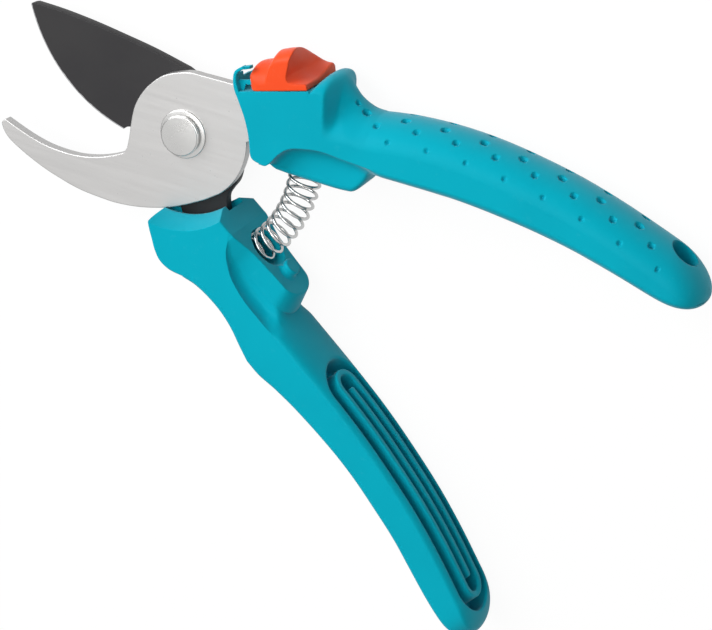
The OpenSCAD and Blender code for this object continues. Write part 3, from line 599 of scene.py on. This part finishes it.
lowerLook = {
    "start": 30.0, "neck": 60.0, "length": 162.0, "endHeight": 30.0, "tip": 12.0, "palmCrown": 3.0,
    "edge": [(30, 5.3), (31, 6.2), (33, 8.9), (35.6, 11), (39.8, 13.2), (46, 14.5), (52, 14.7), (60, 14.6)],
    "low": [(30, 8), (40, 8.6), (50, 9), (55, 9.4), (58, 10.8), (62, 11.6)],
    "headPalm": [(30, 24.8), (34.3, 23.2), (40.2, 22.4), (45.6, 22.5), (50.5, 23.4), (55, 24.8), (60, 26.2)],
    "ridge": [(0, 14.6), (0.2, 14.6), (0.35, 15.1), (0.49, 16.5), (0.62, 18.4), (0.74, 21), (0.86, 24.3),
        (1, 28.4)],
    "palm": [(0, 26.2), (0.05, 26.1), (0.11, 24.9), (0.2, 23.8), (0.34, 23.2), (0.44, 23.6), (0.54, 24.8),
        (0.64, 26.3), (0.73, 28.4), (0.83, 30.7), (0.9, 31.8), (1, 32.6)],
    "deckWidth": [(31, 10.9), (34.5, 9.6), (38, 8.4), (44, 7.6), (50.5, 7.1)],
    "deck": 4.0, "innerRise": 3.0,
    "hollow": (75.0, 157.5),
}
ribLook = {"halfWidth": 8.5, "loop": 5.1, "rib": 1.8, "top": -2.6, "floor": 5.1, "rim": 0.9, "crest": 0.45}


# Lines of a handle that all close on the height of its far end
def endedLines(k, x, inner, ridge, crown, rise):
    shut, end = closingAt(x, k["length"], k["tip"], 2.3), k["endHeight"]
    return dict(inner=end + (inner - end) * shut, ridge=end + (ridge - end) * shut,
                crown=end + (crown - end) * shut, rise=rise * shut, rawRidge=ridge,
                height=half * closingAt(x, k["length"], k["tip"], 3.4))


def gripShare(k, x):
    return np.clip((x - k["neck"]) / (k["length"] - k["neck"]), 0, 1)


def upperLines(x):
    k = upperLook
    u = gripShare(k, x)
    slant = math.radians(lockAngle)
    seat = seatHeight / math.cos(slant) + x * math.tan(slant)
    crown, rise = (np.where(x < k["seatEnd"], first, np.where(x < k["neck"], lineAt(k[part], x), last))
                   for first, part, last in ((seat, "hump", lineAt(k["crown"], u)),
                                             (k["seatRound"], "humpRound", k["gripRound"])))
    ridge = np.where(x < k["scoopEnd"], lineAt(k["scoop"], x), lineAt(k["ridge"], u))
    return endedLines(k, x, lineAt(k["inner"], u), ridge, crown, rise)


def lowerLines(x):
    k = lowerLook
    u = gripShare(k, x)
    ridge = np.where(x < k["neck"], lineAt(k["edge"], x), lineAt(k["ridge"], u))
    palm = np.where(x < k["neck"], lineAt(k["headPalm"], x), lineAt(k["palm"], u)) + k["palmCrown"]
    return endedLines(k, x, ridge - k["innerRise"], ridge, palm, k["palmCrown"])


# Inner side of a grip: the ridge line less a half ellipse across the width
def innerSide(lines, x, z):
    p = lines(x)
    across = np.clip(np.abs(z) / np.maximum(p["height"], 0.1), 0, 1)
    return p["ridge"] - (p["ridge"] - p["inner"]) * np.sqrt(1 - across ** 2)


# Oval of half width w from a to b: n points from its tip b, mirrored across its axis. Half of it is a
# quarter circle, a straight and a quarter circle, walked at one speed
def ovalLoop(a, b, w, n):
    straight, turn = b - a - 2 * w, math.pi / 2 * w
    s = np.linspace(0, straight + 2 * turn, n // 2 + 1)
    first = np.clip(s / w, 0, math.pi / 2)
    last = np.clip((s - turn - straight) / w, 0, math.pi / 2)
    t = first + last
    x = np.where(s < turn, b - w, np.clip(b - w - (s - turn), a + w, b - w)) + w * np.cos(t)
    z, nx, nz = w * np.sin(t), np.cos(t), np.sin(t)
    back = slice(-2, 0, -1)
    return (np.concatenate([x, x[back]]), np.concatenate([z, -z[back]]),
            np.concatenate([nx, nx[back]]), np.concatenate([nz, -nz[back]]))


# Cutter for the hollow: an oval wall from above the inner side down, flared like a quarter circle at
# the surface for a round rim
def grooveCutter(name, lines, side, a, b, w, floor, rim, n=360):
    x, z, nx, nz = ovalLoop(a, b, w, n)
    ridge = lines(x)["ridge"]
    depths = [(-2.5, rim + 0.6), (-0.4, rim + 0.45)]
    depths += [(rim * (1 - math.cos(t)), rim * (1 - math.sin(t))) for t in np.radians(np.arange(0, 91, 15))]
    rows = []
    for d, out in depths:
        px, pz = x + nx * out, z + nz * out
        rows.append(np.stack([px, side * (innerSide(lines, px, pz) + d), middle + pz], -1))
    rows.append(np.stack([x, side * (ridge + floor - 0.35), middle + z], -1))
    px, pz = x - nx * 0.35, z - nz * 0.35
    rows.append(np.stack([px, side * (lines(px)["ridge"] + floor), middle + pz], -1))
    return ringSurface(name, np.array(rows), mirrored=True)


# A rib whose top is half round: a rounded bar profile (across, height) carried along a path on the floor
def ribAlong(name, lines, side, x, z, nx, nz, width, top, floor, crest, closed):
    across = width / 2
    t = np.radians(np.arange(0, 91, 22.5))
    outline = [(across, floor + 0.5)]
    outline += [(across - crest * (1 - math.cos(a)), top + crest * (1 - math.sin(a))) for a in t]
    outline += [(-o, h) for o, h in outline[::-1]]
    ridge = lines(x)["ridge"]
    rings = np.stack([np.stack([x + nx * o, side * (ridge + h), middle + z + nz * o], -1) for o,
                      h in outline], 1)
    return ringSurface(name, rings, endless=closed)


def hollowParts(lines, side, span):
    k = ribLook
    a, b = span
    cutter = grooveCutter("hollow", lines, side, a, b, k["halfWidth"], k["floor"], k["rim"])
    centre = k["loop"] - k["rib"] / 2
    near = a + k["halfWidth"] - k["loop"] + k["rib"] / 2
    far = b - k["halfWidth"] + k["loop"] - k["rib"] / 2
    x, z, nx, nz = ovalLoop(near, far, centre, 300)
    loop = ribAlong("loop", lines, side, x, z, nx, nz, k["rib"], k["top"], k["floor"], k["crest"], True)
    # the middle rib: a long thin oval bar with round ends, its top edge rounded too
    first, last = a + k["halfWidth"] + 1, b - k["halfWidth"] - 1
    w = k["rib"] / 2
    bx, bz, _, _ = ovalLoop(first, last, w, 320)
    rows = []
    for shrink, h in ((0, k["floor"] + 0.5), (0, k["top"] + k["crest"]), (0.14, k["top"] + 0.13),
                      (0.5, k["top"])):
        stem = np.clip(bx, first + w, last - w)
        px, pz = stem + (bx - stem) * (1 - shrink), bz * (1 - shrink)
        rows.append(np.stack([px, side * (lines(px)["ridge"] + h), middle + pz], -1))
    bar = ringSurface("bar", np.array(rows), mirrored=True)
    return cutter, [loop, bar]


# Small round pits: every point within a pit's radius sinks along the surface's normal by
# depth · √(1 - (distance / radius)²)
def pitted(grid, pits):
    du = np.gradient(grid, axis=0)
    dv = np.roll(grid, -1, 1) - np.roll(grid, 1, 1)
    normal = np.cross(du, dv)
    normal /= np.maximum(np.linalg.norm(normal, axis=2, keepdims=True), 1e-9)
    centre = grid.mean(axis=1, keepdims=True)
    if np.sum(normal * (grid - centre)) < 0:
        normal = -normal
    out = grid.copy()
    for point, radius, depth in pits:
        d = np.linalg.norm(grid - point, axis=2)
        sink = depth * np.clip(1 - (d / radius) ** 2, 0, None) ** 0.5
        out -= normal * sink[..., None]
    return out


pitLook = {
    # start, end and pitch along the grip, angle on the back's quarter ellipse, radius, depth
    "crownRow": (52.6, 132.0, 11.15, 73.0, 1.15, 1.5),
    "middleRow": (57.1, 136.0, 11.2, 53.0, 0.95, 1.2),
    "frontRow": (51.0, 148.0, 11.0, 24.0, 0.65, 0.8),
    "humpPit": (49.6, 50.0, 1.0, 77.0, 0.8, 1.1),
    "dishPit": (47.0, 48.0, 1.1, 60.0, 0.6, 0.8),
}


def upperPits():
    pits = []
    for start, end, pitch, angle, radius, depth in pitLook.values():
        x = np.arange(start, end, pitch)
        p = upperLines(x)
        t = math.radians(angle)
        v = p["crown"] - p["rise"] + p["rise"] * math.sin(t)
        z = p["height"] * math.cos(t)
        for k in range(len(x)):
            for side in (1, -1):
                pits.append((np.array([x[k], v[k], middle + side * z[k]]), radius, depth))
    return pits


# Place for the thumb behind the slider: the distance from the middle plane shrinks by
# share · step in x · falling tail in x · step in height
thumbLook = {"share": 0.5, "edge": (42.8, 45.8), "tail": (46.0, 59.0), "from": 13.5, "to": 22.5, "lean": 0.12}


def thumbPlaces(grid):
    k = thumbLook
    x, y, z = grid[..., 0], grid[..., 1], grid[..., 2] - middle
    shifted = x - k["lean"] * (22 - y)
    sink = k["share"] * ease(*k["edge"], shifted) * (1 - ease(*k["tail"], x)) * ease(k["from"], k["to"], y)
    out = grid.copy()
    out[..., 2] = middle + z * (1 - sink)
    return out


def makeUpperHandle():
    k = upperLook
    x = stationsAlong(k["start"], k["length"], k["tip"], 0.32)
    p = upperLines(x)
    blendIn = ease(k["neck"] - 4, k["neck"] + 6, x)
    low = lineAt(k["bulge"], x)
    v, z = halfSections(p["inner"], p["ridge"], low, np.full(len(x), k["bulgeWidth"]), 4.0, p["crown"],
                        p["rise"], p["height"], blendIn)
    grid = pitted(thumbPlaces(ringGrid(x, v, z, 1)), upperPits())
    handle = ringSurface("upperHandle", grid)
    left = curveThrough([(28, 1.35), (25.5, 1.75), (24.2, 2.9), (23.5, 5.6), (22.5, 9.2), (20.7, 13.4),
                         (18.6, 17.1),
                         (16.9, 20), (16.2, 22.6), (16.4, 25), (18.3, 26.8)] + onLock((25.6, 20.7),
                                 (27.5, 20.9)), 10)
    inside = curveThrough(onLock((27.5, 20.1), (25.6, 19.9)) + [(18.6, 26), (17.3, 24.7), (17.2, 22.6)]
                          + onLock((23.1, seatHeight)), 10)
    outline = np.vstack([left, inside, onLock((35.0, seatHeight)), [(34.4, 12), (30.4, 6.4), (28.8, 1.2)]])
    head = platePiece("head", outline, headLow, headHigh, 0.25)
    # the hood stands at the front only; behind it a thin web and a stop
    hoodBack = 20.2
    behind = platePiece("behind", onLock((15, seatHeight), (28.6, seatHeight), (30, 24), (15, 24)), -1,
                        hoodBack)
    web = platePiece("web", onLock((22.7, 13.7), (22.3, 15.7), (22.2, 16.8), (26.7, 16.7), (26.7, 15.35),
                                   (25, 15.35), (24.7, 15.75), (23.8, 13.7)), 19.4, hoodBack, 0.12)
    stops = [platePiece("stop", onLock((21.7, 13), (22.7, 13), (22.7, top), (22.1, top)), back, front, 0.1)
             for top, back, front in ((18.5, 17.0, 20.4), (17.3, 12.6, 17.2))]
    guide = platePiece("guide", lockBox(22.1, 25.6, 12.9, 17.1), middle - 0.9, middle + 0.9)
    hollow, ribs = hollowParts(upperLines, 1, k["hollow"])
    return handle, [head, guide], hollow, ribs, behind, [web] + stops


hangLook = {"at": (143.2, 7.7, middle), "angle": 65.0, "radius": 4.3}
# dowels of each plate, in its handle's own frame, and the bore that widens at the back for them
dowelLook = {"radius": 2.0, "hook": ((33, 12.3), (51, 12)), "blade": ((34, -17.5), (51, -18)),
             "bore": [(0, 2.5), (0.052, 2.3), (0.075, 2.0), (1, 2.0)]}


def dowelBores(plate, low, high, profile):
    return [rodBetween("pin", (x, y, low), (x, y, high), profile, 48) for x, y in dowelLook[plate]]


# The middle and the direction of the spring's arc at an angle, in radians
def springFrame(radius, a):
    return (np.array([radius * math.cos(a), radius * math.sin(a), middle]),
            np.array([-math.sin(a), math.cos(a), 0]))


def makeCutsUpper():
    tang = [(10, 18.4), (17, 18.55), (30, 17.85), (60.05, 15.55), (60.05, 8.95), (40, 6.95), (24, 5.55),
            (17, 2.55)]
    slot = platePiece("slot", tang, hookLow - 0.05, hookHigh + 0.05)
    channel = platePiece("channel", onLock((7.35, 9.35), (37.15, 9.35), (37.15, 12.65), (35.65, 12.65),
                                           (35.65, 18.15), (26.35, 18.15), (26.35, 12.65), (7.35, 12.65)),
                         bladeLow - 0.15, bladeHigh + 0.1)
    leaf = platePiece("leaf", lockBox(38, 43.7, 12.7, 13.91), 12.85, 17.15)
    seatMouth, seatDepth = -2.198, 5
    a = math.radians((2 * seatMouth + seatDepth * 180 / (math.pi * springArc)) / 2)
    c, d = springFrame(springArc, a)
    seat = rodBetween("seat", c - d * 5.5, c + d * 2.5,
                      [(0, 6.2), (0.36, 5.65), (0.42, 5.2), (0.5, 5.15), (1, 5.15)])
    at, t, r = np.array(hangLook["at"]), math.radians(hangLook["angle"]), hangLook["radius"]
    d = np.array([math.cos(t), math.sin(t), 0])
    hole = rodBetween("hole", at - d * 30, at + d * 20, [(0, r), (1, r)], 96)
    return [slot, channel, leaf, seat, hole] + dowelBores("hook", -1, 17, dowelLook["bore"])


print("upper handle: surface and head")
upper, upperAdds, upperHollow, upperRibs, upperBehind, upperWeb = makeUpperHandle()
carve(upperAdds[0], [upperBehind])
carve(upper, [upperHollow] + makeCutsUpper(), upperAdds)
carve(upper, [], upperRibs + upperWeb)
dress(upper, handlePlastic)
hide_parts("upper_handle")
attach(upper, "upper")


def deckHalf(x):
    return np.where(x < 31, 10.9, lineAt(lowerLook["deckWidth"], np.minimum(x, 50.5)))


def makeLowerHandle():
    k = lowerLook
    x = stationsAlong(k["start"], k["length"], k["tip"], 0.32)
    p = lowerLines(x)
    blendIn = ease(k["neck"] - 8, k["neck"] + 2, x)
    low = np.maximum(np.minimum(lineAt(k["low"], x), p["rawRidge"] - 3), k["deck"] + 0.4)
    v, z = halfSections(p["inner"], p["ridge"], np.minimum(low, p["ridge"] - 0.2), deckHalf(x), 2.4,
                        p["crown"], p["rise"], p["height"], blendIn)
    handle = ringSurface("lowerHandle", ringGrid(x, v, z, -1))
    head = platePiece("head", np.vstack([
        arcAround((0, 0), 22.0, -11, -58, 30),
        curveThrough([(11.6, -21.2), (11.9, -22.6), (13.6, -23.9), (16.2, -25.4), (19.2, -27.1),
                      (22.5, -28.1),
                      (26.3, -27.5), (30.6, -25.1)], 8),
        [[34.5, -22], [34.5, -14], [31.0, -7.5], [30.6, -4.0]]]), headLow, headHigh, 0.5)
    # the deck round the spring's pocket, with a round far end
    xs = np.arange(30, 50.5, 0.5)
    near = np.stack([xs, deckHalf(xs)], 1)
    t = np.radians(np.arange(90, -0.1, -6))
    far = np.stack([50.5 + 4.9 * np.cos(t), 7.1 * np.sin(t)], 1)
    side = np.vstack([near, far])
    loop = np.vstack([side, (side * [1, -1])[-2::-1]])
    deck = platePiece("deck", loop, 0.0, 6.5, 0.3)
    reshape(deck, lambda q: np.stack([q[:, 0] + 0.4 * q[:, 2] * np.clip((q[:, 0] - 46) / 9, 0, 1),
                                      -4 - q[:, 2],
                                      middle + q[:, 1]], 1))
    flip(deck)
    bumper = rodBetween("bumper", (47.5, -5.5, middle), (47.5, -1.55, middle),
                        [(0, 3.6), (0.38, 3.45), (0.42, 3.0), (0.48, 2.68), (0.56, 2.52), (0.62, 2.5),
                         (0.9, 2.5),
                         (0.96, 2.42), (1, 2.2)], 64)
    return handle, [head, deck, bumper]


def makeCutsLower():
    face = turnedPiece("face", [(0, -2), (25.8, -2), (25.8, 0), (23.2, 6), (23.2, 16), (25.8, 22),
                                (25.8, 24), (0, 24)],
                       240)
    room = turnedPiece("relief", [(0, 10.9), (24.5, 10.9), (24.5, 14.4), (0, 14.4)], 160)
    slot = platePiece("slot", [(20.6, -4), (24, -6.95), (29, -13.55), (58.05, -15.15), (58.05, -20.65),
                               (30, -21.55),
                               (19, -20.55), (12, -17.05), (10, -12)], bladeLow - 0.05, bladeHigh + 0.05)
    pocketMouth, pocketDepth, pocketArc = -6.3, 4, 38.3
    a = math.radians(pocketMouth - pocketDepth * (180 / (math.pi * springArc)))
    c, d = springFrame(pocketArc, a)
    pocket = rodBetween("pocket", c - d * 4, c + d * 7,
                        [(0, 5.45), (0.66, 5.45), (0.71, 5.6), (0.75, 6.0), (1, 7.2)])
    spur = platePiece("spur", [(20, -7.2), (24.4, -7.2), (24.4, -3), (20, -3)], 6, 14.4)
    return [face, room, slot, pocket, spur] + dowelBores("blade", -1, 17, dowelLook["bore"])


print("lower handle: surface, head and deck")
lower, lowerAdds = makeLowerHandle()
lowerHollow, lowerRibs = hollowParts(lowerLines, -1, lowerLook["hollow"])
carve(lower, [lowerHollow] + makeCutsLower(), lowerAdds)
carve(lower, [], lowerRibs)
reshape(lower, lambda q: turned(q, -openAngle))
softEdges(lower, 32)
dress(lower, handlePlastic)
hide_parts("lower_handle")
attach(lower, "lower")
print("handles made")


# The slider's top is a height over the way s along it and the share a of its width, 0 at the front face
# and 1 at the back face. Over the block and the ledge it rises from the front edge to the crest like a
# quarter ellipse over the share w, then falls as 1 - t^1.7. Behind the ledge it passes by a smooth step
# into the floor of the thumb's scoop. What lies above the base leans back along the slider.
sliderLook = {
    "start": 26.4, "length": 16.9, "front": 21.9, "back": 0.1,
    "crest": [(0, 18.9), (0.3, 19.8), (0.8, 20.4), (1.5, 20.7), (3, 20.8), (4.3, 20.8), (4.9, 21.4),
        (5.6, 22.9), (6.3, 23.9), (7.3, 24.2), (8.3, 24.4), (10.4, 24.5), (16.9, 24.5)],
    "edge": [(0, 17.6), (0.8, 17.0), (1.8, 15.9), (3, 15.45), (4.5, 15.4), (4.8, 16.6), (5.1, 19.2),
        (5.6, 20.6), (6.5, 21.3), (10, 21.6), (16.9, 21.6)],
    "round": [(0, 0.3), (4.4, 0.32), (5.6, 0.22), (16.9, 0.22)],
    "low": [(0, 15.2), (0.3, 14.5), (0.9, 14.1), (1.3, 14.05), (16.9, 14.05)],
    "floor": 15.7, "heel": 2.6, "wall": 9.7, "turn": 2.4, "lean": (0.27, 0.43), "base": 15.4,
}


def makeSlider():
    k = sliderLook
    s = np.unique(np.concatenate([np.linspace(a, b, n) for a, b, n in (
        (0, 1.5, 14), (1.5, 4.3, 14), (4.3, 6, 24), (6, 9.4, 20), (9.4, 13.2, 60),
        (13.2, k["length"], 30))]))[:, None]
    low, crest, edge, w = (lineAt(k[part], s) for part in ("low", "crest", "edge", "round"))
    a = (1 + np.cos(np.linspace(0, math.pi, 80)))[None, :] / 2
    rising = np.sqrt(1 - (1 - np.clip(a / w, 0, 1)) ** 2)
    t = np.clip((a - w) / (1 - w), 0, 1)
    heel = k["heel"] + low
    ledge = np.where(a < w, edge + (crest - edge) * rising, heel + (crest - heel) * (1 - t ** 1.7))
    wall = k["wall"] + k["turn"] * a
    reach = np.clip(s - wall - 0.5, 0, None)
    floor = k["floor"] + 4 * a * (1 - a) * 1.3 * (1 - ease(11.5, 16.9, s)) + 2.0 * np.exp(-reach / 0.8)
    floor = floor + 1.5 * ease(0.4, 0.95, a)
    topN = ledge + (np.minimum(floor, ledge) - ledge) * ease(0, 0.5 + 1.5 * a, s - wall)
    topN -= 0.5 * (1 - np.sqrt(1 - np.clip((s - 16.3) / 0.6, 0, 1) ** 2 * 0.99))
    nose = 1 - np.sqrt(1 - np.clip(1 - s / 2.4, 0, 0.97) ** 2)
    b = np.linspace(0, 1, 16, endpoint=False)[None, :]
    e = np.linspace(0, 1, 24)[None, 1:-1]
    sideN = topN[:, -1:] + (low - topN[:, -1:]) * e
    backN = low + (topN[:, :1] - low) * np.linspace(0, 1, 6)[None, :-1]
    n = np.concatenate([low + 0 * b, backN, topN, sideN], 1)
    front, back = k["front"] - 1.7 * nose, k["back"] + 1.2 * nose + 2.6 * ease(11, 16.9, s)
    share = np.concatenate([b + 0 * s, 1 + 0 * backN, a + 0 * s, 0 * sideN], 1)
    z = front - share * (front - back)
    first, last = k["lean"]
    lean = (first + (last - first) * ease(5, 9, s)) * ease(3.2, 4.4, s) * (1 - ease(11.5, 14.5, s))
    lean = lean * np.clip(n - k["base"], 0, None) * (1 - share) ** 1.3
    grid = turned(np.stack([k["start"] + s + lean, n, z], -1), lockAngle)
    slider = ringSurface("lockSlider", grid, 50)
    groove = platePiece("groove", lockBox(25, 28.3, 13, 17.4), middle - 1.05, middle + 1.05)
    riser = platePiece("riser", lockBox(30.49, 35.51, 13, 18.01), bladeLow - 0.01, middle + 1.4)
    slit = platePiece("slit", onLock((25, 13), (29.6, 13), (29.6, 16.9), (25.4, 16.9)), 19.2, 20.4)
    return carve(slider, [groove, riser, slit], smooth=50)


slider = makeSlider()
dress(slider, sliderPlastic)
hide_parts("lock_slider")
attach(slider, "lock")
print("slider made")


hookLook = {"throat": 17.0, "reach": 41.0, "hub": 19.4, "hole": 5.52, "edge": 0.28}


def jawPoint(share, y):
    return (-hookLook["throat"] - share * hookLook["reach"], y)


def makeHook():
    innerLine = [jawPoint(*p) for p in ((0.97, -11.8), (0.86, -13.4), (0.75, -14.8), (0.62, -15.9),
                                        (0.49, -16.2),
                                        (0.36, -15.9), (0.23, -14.7), (0.11, -12.8), (0.02, -10.8))]
    outerLine = [jawPoint(*p) for p in ((0.16, -26.6), (0.33, -26.1), (0.48, -24.8), (0.64, -22.9),
                                        (0.8, -20.2),
                                        (0.92, -17.6), (0.975, -15.4), (1, -13.2), (0.985, -12.2))]
    outline = np.vstack([
        curveThrough(innerLine, 10),
        curveThrough([(-17, -9.2), (-16.7, -6.1), (-16.6, -2.6), (-16.4, 1), (-15.9, 4), (-14.6, 7.4),
                      (-12, 11.4),
                      (-7.7, 15.3), (-1, 17.9), (4.1, 18.2), (10, 18.35)], 8),
        [(17, 18.5), (30, 17.8), (60, 15.5), (60, 9), (40, 7), (24, 5.6)],
        arcAround((0, 0), hookLook["hub"], 9, -48, 60),
        curveThrough([(9, -17.3), (3, -20.7), (-3, -23.4), (-10.8, -25.6), (-18, -26.6)] + outerLine, 10)])
    plate = platePiece("hookPlate", outline, hookLow, hookHigh, hookLook["edge"], 4)
    holes = [turnedPiece("hole", [(0, 5), (hookLook["hole"], 5), (hookLook["hole"], 20), (0, 20)])]
    holes += dowelBores("hook", 5, 20, [(0, dowelLook["radius"]), (1, dowelLook["radius"])])
    return carve(plate, holes)


bladeLook = {"hub": 16.0, "hole": 5.55, "edge": 0.12, "bevel": 5.0}


def makeBlade():
    k = bladeLook
    c = np.array(edgeCentre)
    tipX = 1.3 - 58.0
    tip = np.array([tipX, c[1] - math.sqrt(edgeRadius ** 2 - (tipX - c[0]) ** 2)])
    tipAngle = math.degrees(math.atan2(tip[1] - c[1], tip[0] - c[0]))
    outline = np.vstack([
        curveThrough([tip + [0.7, 1.1], tip + [7.8, 6.1], (-40.4, -2.1), (-31.7, 2.8), (-23.2, 7.4),
                      (-12.8, 12.3)], 10),
        arcAround((0, 0), k["hub"], 124, 32, 60),
        curveThrough([(14.6, 7.2), (17.6, 5), (19.6, 1.6), (20.1, -1.6), (20.9, -4.2), (23.9, -6.9)], 8),
        [(24, -7), (29, -13.6), (58, -15.2), (58, -20.6), (30, -21.5), (19, -20.5), (12, -17)],
        arcAround((0, 0), k["hub"], -72, -127, 30), [(-12.2, -14.2), (-13.1, -15.4)],
        arcAround(c, edgeRadius, -65.5, tipAngle, 90)])
    blade = platePiece("cuttingBlade", outline, bladeLow, bladeHigh, k["edge"], 2)
    outer, inner = edgeRadius + 8, edgeRadius - k["bevel"]
    angles = np.radians(np.linspace(-112, -66, 120))
    ring = []
    for r, h in ((inner, bladeLow - 1), (inner, bladeLow), (edgeRadius + 0.15, bladeHigh - 0.2),
                 (outer, bladeHigh - 0.2),
                 (outer, bladeLow - 1)):
        ring.append(np.stack([c[0] + r * np.cos(angles), c[1] + r * np.sin(angles),
                              np.full(len(angles), h)], -1))
    grind = ringSurface("grind", np.stack(ring, 1))
    hole = turnedPiece("hole", [(0, 2), (k["hole"], 2), (k["hole"], 20), (0, 20)])
    # the tongue's place when the handles are closed, and when they are open
    notch = [platePiece("notch", turned([(9.1, 9.2), (21.1, 9.2), (21.1, top), (9.1, top)], angle), 5, 12)
             for top, angle in ((12.8, lockAngle), (21.2, lockAngle + openAngle))]
    pins = dowelBores("blade", 5, 20, [(0, dowelLook["radius"]), (1, dowelLook["radius"])])
    carve(blade, [grind, hole] + notch + pins, smooth=25)
    return reshape(blade, lambda q: turned(q, -openAngle))


hook = makeHook()
dress(hook, hookSteel)
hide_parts("hook_plate")
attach(hook, "upper")
blade = makeBlade()
softEdges(blade, 25)
dress(blade, bladeCoat)
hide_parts("cutting_blade")
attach(blade, "lower")
print("plates made")


boltLook = {"shaft": 4.0, "rim": 7.0, "disc": 5.8, "neck": 5.1, "under": 14.05, "top": 17.05}


def makeBolt(k):
    u = k["under"]
    t = np.radians(np.arange(0, 91, 15))
    profile = [(0, 0), (k["shaft"] - 0.4, 0), (k["shaft"], 0.4), (k["shaft"], u), (k["rim"], u)]
    profile += [(k["rim"] - 0.35 * (1 - math.cos(a)), u + 0.3 + 0.3 * math.sin(a)) for a in t]
    profile += [(k["neck"] + 0.45, u + 0.9)]
    profile += [(k["neck"] + 0.45 * (1 - math.sin(a)), u + 0.9 + 0.45 * (1 - math.cos(a))) for a in t]
    profile += [(k["neck"], u + 1.7), (k["disc"] - 0.1, u + 2.02), (k["disc"], u + 2.12),
                (k["disc"], u + 2.42)]
    profile += [(k["disc"] - 0.35 * math.sin(a), u + 2.42 + 0.28 * (1 - math.cos(a))) for a in t]
    profile += [(3.0, k["top"] - 0.12), (1.0, k["top"] - 0.02), (0, k["top"])]
    return turnedPiece("pivotBolt", profile, 128, 28)


# Hexagon nut: at each angle and height the radius is the least of the hexagon's and the chamfer cones'
def makeNut(flats=6.5, height=6.5, bore=4.03):
    t = np.linspace(0, 2 * math.pi, 192, endpoint=False)
    hexagon = flats / np.cos((t + math.pi / 6) % (math.pi / 3) - math.pi / 6)
    heights = np.concatenate([np.linspace(a, b, n) for a, b, n in (
        (0, 0.9, 14), (1.2, height - 1.2, 8), (height - 0.9, height, 14))])
    rows = [(bore, 0.4), (bore + 0.4, 0.0), (flats - 0.1, 0.0)]
    rows += [(np.minimum(hexagon, flats + 1.7 * min(z, height - z)), z) for z in heights]
    rows += [(flats - 0.1, height), (bore + 0.4, height), (bore, height - 0.4)]
    grid = [np.stack([r * np.cos(t), r * np.sin(t), np.full(len(t), z)], -1) for r, z in rows]
    return ringSurface("pivotNut", np.array(grid), 24, endless=True)


bolt = makeBolt(boltLook)
dress(bolt, boltSteel)
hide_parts("pivot_bolt")
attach(bolt, "upper")
nut = makeNut()
dress(nut, nutSteel)
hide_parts("pivot_nut")
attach(nut, "upper")
print("bolt and nut made")


# A coil on an arc round the pivot: the wire turns about the arc while the arc's angle moves on, closely
# in the first and last turn
springLook = {"coil": 9.7, "wire": 0.95, "turns": 14, "arc": springArc, "drift": 1.9, "steps": 48,
              "sides": 14,
              "from": -54.96, "to": 4.20}


def makeSpring(k):
    n = k["turns"] * k["steps"]
    radius = (k["coil"] - k["wire"]) / 2
    degree = 180 / (math.pi * k["arc"])
    ends, t0 = k["wire"] * degree, 1 / k["turns"]

    # distance of the coil's middle from the pivot: it grows towards the lower handle
    def arcAt(a):
        return k["arc"] + k["drift"] * (k["to"] - np.degrees(a)) / (k["to"] - k["from"])

    def wireAt(step):
        t = step / n
        body = k["from"] + ends + (k["to"] - k["from"] - 2 * ends) * (t - t0) / (1 - 2 * t0)
        last = np.where(t > 1 - t0, k["to"] - ends * (1 - t) / t0, body)
        a = np.where(t < t0, k["from"] + ends * t / t0, last)
        a, turn = np.radians(a), 2 * math.pi * step / k["steps"]
        q = arcAt(a) + radius * np.cos(turn)
        return np.stack([q * np.cos(a), q * np.sin(a), middle + radius * np.sin(turn)], -1), a

    step = np.arange(n + 1.0)
    p, a = wireAt(step)
    d = wireAt(step + 0.05)[0] - wireAt(step - 0.05)[0]
    d /= np.linalg.norm(d, axis=1, keepdims=True)
    c = np.stack([arcAt(a) * np.cos(a), arcAt(a) * np.sin(a), np.full(n + 1, middle)], -1)
    u = p - c
    u -= d * np.sum(u * d, 1, keepdims=True)
    u /= np.linalg.norm(u, axis=1, keepdims=True)
    v = np.cross(d, u)
    b = np.linspace(0, 2 * math.pi, k["sides"], endpoint=False)
    spokes = u[:, None] * np.cos(b)[None, :, None] + v[:, None] * np.sin(b)[None, :, None]
    grid = p[:, None] + k["wire"] / 2 * spokes
    return ringSurface("returnSpring", grid, 50)


spring = makeSpring(springLook)
dress(spring, wireSteel)
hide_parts("return_spring")
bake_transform(spring)
print("spring made")


for node, finish in (("hook_pins", wireSteel), ("blade_pins", wireSteel), ("pivot_bush", brass),
                     ("friction_washer", nutSteel), ("spring_washer", nutSteel), ("lock_tongue", nutSteel),
                     ("detent_leaf", wireSteel)):
    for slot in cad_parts[node].material_slots:
        slot.material = finish
